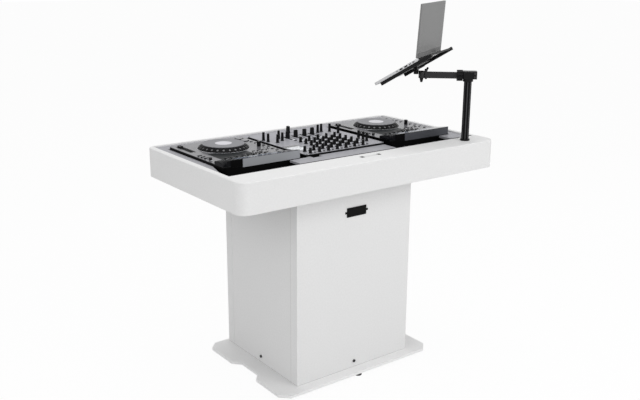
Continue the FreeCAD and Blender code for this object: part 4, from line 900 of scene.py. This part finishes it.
def screen_pictures():
    """What each screen shows: a thin lit sheet on the glass, set back from its edges."""
    for number, (low, high) in enumerate(islands("gear_screens"), 1):
        slope = max((high.z - low.z - SCREEN_THICKNESS) / (high.y - low.y), 0)
        is_mixer = abs(box_middle(low, high)[0]) < MIXER_HALF_SPAN
        border = MIXER_SCREEN_BORDER if is_mixer else SCREEN_INSET
        x0, x1 = low.x + SCREEN_INSET, high.x - SCREEN_INSET
        y0, y1 = low.y + SCREEN_INSET, high.y - border
        corners = [(x, y, high.z - (y - low.y) * slope + PICTURE_RISE)
                   for x, y in ((x0, y0), (x1, y0), (x1, y1), (x0, y1))]
        mesh = bmesh.new()
        sheet = mesh.faces.new([mesh.verts.new(corner) for corner in corners])
        grown = bmesh.ops.extrude_face_region(mesh, geom=[sheet])
        lower = [piece for piece in grown["geom"] if isinstance(piece, bmesh.types.BMVert)]
        bmesh.ops.translate(mesh, vec=(0, 0, -PICTURE_DEPTH), verts=lower)
        picture = "screen_white" if is_mixer else "screen_dark"
        add_piece("screen_picture_%d" % number, mesh, picture)


# Laptop stand, with the lever's stem in millimetres
CLAMP_HALF_WIDTH = 21 * MM
CLAMP_BOLT_BACK = 24 * MM
CLAMP_BOLT_RISE = 7 * MM
ARM_COLLAR_BACK = 16.8 * MM
LEVER_STEM = ((0.1, -1), (6, -1), (6, 4), (5, 7), (0.1, 7))
LEVER_LEAN = math.radians(30)
RACK_BAR_INSET = 15 * MM
RACK_BAR_WIDTH = 6 * MM


def stand_fixings():
    """Bolt heads on the clamp and a lever screw on the collar beside the arm's eye."""
    pole = Vector(POLE_AXIS)
    eye = Vector(joints["head_swivel"]["pos_m"])
    along = (eye - pole).normalized()
    across = Vector((along.y, -along.x, 0))
    low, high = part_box("swivel_clamp")
    outward = across.to_track_quat("Z", "Y").to_matrix().to_4x4()
    mesh = bmesh.new()
    for rise in (-CLAMP_BOLT_RISE, CLAMP_BOLT_RISE):
        for way, turn in ((1, 0), (-1, math.pi)):
            spot = pole - along * CLAMP_BOLT_BACK + across * way * CLAMP_HALF_WIDTH
            spot.z = (low.z + high.z) / 2 + rise
            place = at(*spot) @ outward @ Matrix.Rotation(turn, 4, "X")
            add_screw(mesh, place, radius=4.5 * MM, height=3 * MM)
    add_piece("clamp_bolts", mesh, "black_steel", "arm")
    collar = eye - along * ARM_COLLAR_BACK
    collar.z = top_of("stand_arm")
    place = at(*collar) @ Matrix((-along, across, Vector((0, 0, 1)))).transposed().to_4x4()
    mesh = bmesh.new()
    add_turning(mesh, [(r * MM, z * MM) for r, z in LEVER_STEM], place, steps=24)
    add_box(mesh, (-4 * MM, -2.5 * MM, 1 * MM), (4 * MM, 2.5 * MM, 15 * MM), round_over=1.5 * MM,
            place=place @ Matrix.Rotation(LEVER_LEAN, 4, "Y"))
    add_piece("arm_lever_screw", mesh, "stand_black", "arm", smooth=True)


def oriented_box(node, level=None):
    """A frame with X along the rack's axle and Z square to a largest face, and a node's half sizes in it.

    The face is the node's own, or that of the node given as level.
    """
    largest = max(nodes[level or node].data.polygons, key=lambda face: face.area)
    up = largest.normal.copy()
    up = up if up.z > 0 else -up
    side = Vector(joints["rack_tilt"]["axis"]).normalized()
    ahead = up.cross(side).normalized()
    turn = Matrix((side, ahead, up)).transposed()
    local = [turn.transposed() @ corner.co for corner in nodes[node].data.vertices]
    low = Vector(map(min, zip(*local)))
    high = Vector(map(max, zip(*local)))
    return Matrix.Translation(turn @ ((low + high) / 2)) @ turn.to_4x4(), (high - low) / 2


def rack_rear_bar():
    """The thin bar that joins the far ends of the rack's rails."""
    place, half = oriented_box("rack_rails", "laptop_base")
    side, far = half.x - RACK_BAR_INSET, 2 * MM - half.y
    mesh = bmesh.new()
    add_box(mesh, (-side, far, -1 * MM), (side, far + RACK_BAR_WIDTH, 5 * MM), round_over=1.2 * MM,
            place=place)
    add_piece("rack_rear_bar", mesh, "stand_black", "rack")


# Laptop, with its ports in millimetres
TOUCH_PAD_HALF_WIDTH = 52 * MM
TOUCH_PAD_SPAN = (70 * MM, 8 * MM)
PORTS = ((-78, 9, 3.4), (-62, 9, 3.4), (-44, 13, 5.0), (-22, 13, 5.0), (-4, 5, 3.6))
PORT_DEPTH = 0.4 * MM
VENTS = 22
VENT_PITCH = 7 * MM
VENT_HALF_WIDTH = 1.5 * MM
VENT_SPAN = (14 * MM, 34 * MM)
VENT_DEPTH = 0.2 * MM
HINGE_MARGIN = 4 * MM
HINGE_STRIP_DEPTH = 0.5 * MM
LID_REFLECTION_WIDTH = 14 * MM
LID_REFLECTION_DEPTH = 0.4 * MM


def laptop_touch_pad(place, half):
    """The touch pad before the keys."""
    near, far = TOUCH_PAD_SPAN
    mesh = bmesh.new()
    add_box(mesh, (-TOUCH_PAD_HALF_WIDTH, half.y - near, half.z - 0.1 * MM),
            (TOUCH_PAD_HALF_WIDTH, half.y - far, half.z + 0.12 * MM), round_over=0.05 * MM, place=place)
    add_piece("laptop_touch_pad", mesh, "laptop_grey", "rack")


def laptop_ports(place, half):
    """The ports in the laptop's sides, each by its place, length and height."""
    mesh = bmesh.new()
    for spot, length, height in PORTS:
        y0, y1 = around(spot * MM, length / 2 * MM)
        z0, z1 = around(0, height / 2 * MM)
        for edge in (-half.x, half.x):
            add_box(mesh, (edge - PORT_DEPTH, y0, z0), (edge + PORT_DEPTH, y1, z1), round_over=0.15 * MM,
                    place=place)
    add_piece("laptop_ports", mesh, "case_black", "rack")


def laptop_vents(place, half):
    """The row of vents below the laptop."""
    start, end = VENT_SPAN
    reach = VENT_PITCH * (VENTS - 1) / 2
    mesh = bmesh.new()
    for x in spread(-reach, reach, VENTS):
        add_box(mesh, (x - VENT_HALF_WIDTH, start - half.y, -half.z - VENT_DEPTH),
                (x + VENT_HALF_WIDTH, end - half.y, VENT_DEPTH - half.z), place=place)
    add_piece("laptop_vents", mesh, "case_black", "rack")


def laptop_hinge_strip(place, half):
    """The dark strip along the hinge's side of the laptop's base."""
    side = half.x - HINGE_MARGIN
    mesh = bmesh.new()
    add_box(mesh, (-side, -half.y - HINGE_STRIP_DEPTH, 0.6 * MM - half.z),
            (side, HINGE_STRIP_DEPTH - half.y, half.z - 0.4 * MM), round_over=0.3 * MM, place=place)
    add_piece("laptop_hinge_strip", mesh, "case_black", "rack")


def laptop_hinge_cover(base_middle):
    """A dark band by the hinge on the outside of the lid: a painted reflection."""
    place, half = oriented_box("laptop_lid")
    to_base = base_middle - place.translation
    to_hinge = Vector(joints["laptop_lid_hinge"]["pos_m"]) - place.translation
    outer = -half.z if place.col[2].xyz.dot(to_base) > 0 else half.z
    hinge_way = 1 if place.col[1].xyz.dot(to_hinge) > 0 else -1
    edge = half.y - HINGE_MARGIN
    near, far = sorted((hinge_way * (edge - LID_REFLECTION_WIDTH), hinge_way * edge))
    side = half.x - HINGE_MARGIN
    mesh = bmesh.new()
    add_box(mesh, (-side, near, outer - LID_REFLECTION_DEPTH), (side, far, outer + LID_REFLECTION_DEPTH),
            round_over=0.3 * MM, place=place)
    add_piece("laptop_hinge_cover", mesh, "hinge_grey", "lid")


def laptop_trim():
    """The touch pad, the ports in the sides, the vents below, the dark strip on the base's hinge side and
    the painted reflection on the lid.
    """
    place, half = oriented_box("laptop_base")
    laptop_touch_pad(place, half)
    laptop_ports(place, half)
    laptop_vents(place, half)
    laptop_hinge_strip(place, half)
    laptop_hinge_cover(place.translation)


# Tray, deck and pedestal
DECK_GAP_SHADE = 7 * MM
DECK_SCREW_INSET = 8 * MM
RIM_PLATE_END = 14 * MM
SEAM_PROUD = 0.15 * MM
SEAM_WIDTH = 1.2 * MM
SEAM_ROUND = 0.05 * MM


def deck_fixings():
    """The screws of the deck panels and a dark strip on the front rail's inner edge: painted shade of the
    gap between the deck and the rail.
    """
    screws, joint = bmesh.new(), bmesh.new()
    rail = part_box("tray_front_rail")[1]
    for low, high in islands("deck_panels"):
        # Painted shade of the gap where the deck meets the front rail
        if low.y < rail.y + DECK_GAP_SHADE:
            add_flat(joint, (low.x, high.x), (low.y - DECK_GAP_SHADE, low.y), rail.z, proud=0.15 * MM,
                     sunk=0.2 * MM, round_over=0.05 * MM)
        inset = min(DECK_SCREW_INSET, (high.x - low.x) / 3, (high.y - low.y) / 3)
        for x in (low.x + inset, high.x - inset):
            for y in (low.y + inset, high.y - inset):
                add_screw(screws, at(x, y, high.z), radius=2.2 * MM, height=0.4 * MM)
    add_piece("deck_screws", screws, "black_steel")
    add_piece("deck_joint", joint, "joint_black")


def rim_plate_ends():
    """The dark ends of the bare plate on the front rail."""
    low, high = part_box("rim_plate")
    mesh = bmesh.new()
    for start in (low.x, high.x - RIM_PLATE_END):
        add_flat(mesh, (start, start + RIM_PLATE_END), (low.y, high.y), high.z, proud=0.2 * MM,
                 sunk=0.3 * MM, round_over=0.2 * MM)
    add_piece("rim_plate_ends", mesh, "black_plate")


def pedestal_seams():
    """Thin grey strips along the pedestal's foot and behind its front corner posts: painted shade in the
    seams.
    """
    low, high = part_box("pedestal_front_panel")
    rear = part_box("pedestal_rear_panel")[1].y
    post0, post1 = around(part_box("pedestal_side_panels")[0].y, SEAM_WIDTH / 2)
    foot = low.z + SEAM_WIDTH
    mesh = bmesh.new()
    for y0, y1 in (around(low.y, SEAM_PROUD), around(rear, SEAM_PROUD)):
        add_box(mesh, (low.x, y0, low.z), (high.x, y1, foot), SEAM_ROUND)
    for x0, x1 in (around(low.x, SEAM_PROUD), around(high.x, SEAM_PROUD)):
        add_box(mesh, (x0, low.y, low.z), (x1, rear, foot), SEAM_ROUND)
        add_box(mesh, (x0, post0, low.z), (x1, post1, high.z), SEAM_ROUND)
    add_piece("pedestal_seams", mesh, "seam_grey")


for side in SIDES:
    player_rear_panels(side)
    player_dark_plate(side)
    player_rings(side)
    jog_dimple_glints(side)
    player_tempo_marks(side)
    player_small_keys(side)
    player_fixings(side)
    selector_ring(side)
key_lamps()
knob_marks()
knob_row_keys()
fader_marks()
mixer_buttons()
screen_pictures()
stand_fixings()
rack_rear_bar()
laptop_trim()
deck_fixings()
rim_plate_ends()
pedestal_seams()

# Floor, backdrop and light
WHITE = (1, 1, 1, 1)
STAGE_WHITE = (0.9, 0.9, 0.9, 1)
STAGE_ROUGHNESS = 0.9
STAGE_GLOW_SHARE = 0.95
FLOOR_HALF = 30.0
AMBIENT_STRENGTH = 0.50


def backdrop_rays(tree):
    """1 for the rays that show the backdrop: to the eye, in reflections and through glass."""
    path = tree.nodes.new("ShaderNodeLightPath")
    shown = path.outputs["Is Camera Ray"]
    for ray in ("Is Glossy Ray", "Is Transmission Ray"):
        shown = worked_out(tree, "ShaderNodeMath", "MAXIMUM", (shown, path.outputs[ray]))
    return shown


def blend_shaders(tree, share, first, second, output):
    """Show a blend of two shaders, by the share of the second."""
    blend = tree.nodes.new("ShaderNodeMixShader")
    for socket, value in zip(blend.inputs, (share, first, second)):
        tree.links.new(value, socket)
    tree.links.new(blend.outputs["Shader"], tree.nodes[output].inputs["Surface"])


def stage_material():
    """A white that shows as white to the eye and in reflections, and still takes a soft shadow."""
    material, tree, shader = new_material("stage_white")
    shader.inputs["Base Color"].default_value = STAGE_WHITE
    shader.inputs["Roughness"].default_value = STAGE_ROUGHNESS
    glow = add_node(tree, "ShaderNodeEmission", Color=WHITE, Strength=1.0)
    share = worked_out(tree, "ShaderNodeMath", "MULTIPLY", (backdrop_rays(tree), STAGE_GLOW_SHARE))
    blend_shaders(tree, share, shader.outputs["BSDF"], glow.outputs["Emission"], "Material Output")
    return material


def add_floor():
    """A wide floor."""
    mesh = bpy.data.meshes.new("floor")
    half = FLOOR_HALF
    corners = [(-half, -half, 0), (half, -half, 0), (half, half, 0), (-half, half, 0)]
    mesh.from_pydata(corners, [], [(0, 1, 2, 3)])
    floor = bpy.data.objects.new("floor", mesh)
    floor.data.materials.append(stage_material())
    bpy.context.scene.collection.objects.link(floor)


def add_world():
    """Even surrounding light, white where the eye or a reflection sees it."""
    world = bpy.data.worlds.new("studio")
    bpy.context.scene.world = world
    world.use_nodes = True
    tree = world.node_tree
    ambient = tree.nodes["Background"]
    ambient.inputs["Color"].default_value = WHITE
    ambient.inputs["Strength"].default_value = AMBIENT_STRENGTH
    white = add_node(tree, "ShaderNodeBackground", Color=WHITE, Strength=1.0)
    blend_shaders(tree, backdrop_rays(tree), ambient.outputs["Background"], white.outputs["Background"],
                  "World Output")


def add_softbox(name, place, target, size, power):
    """A large square lamp aimed at a point."""
    data = bpy.data.lights.new(name, "AREA")
    data.shape = "SQUARE"
    data.size = size
    data.energy = power
    lamp = bpy.data.objects.new(name, data)
    bpy.context.scene.collection.objects.link(lamp)
    lamp.location = place
    lamp.rotation_euler = (Vector(target) - Vector(place)).to_track_quat("-Z", "Y").to_euler()


add_camera()
add_floor()
add_world()
add_softbox("key_light", place=(1.4, -3.6, 2.6), target=(0, 0, 0.7), size=2.2, power=53)
add_softbox("fill_light", place=(-3.2, -1.6, 1.9), target=(0, 0, 0.5), size=2.0, power=24)
add_softbox("top_light", place=(0.4, 0.4, 4.4), target=(0.1, 0, 0.9), size=3.4, power=60)
bpy.context.scene.view_settings.view_transform = "Standard"
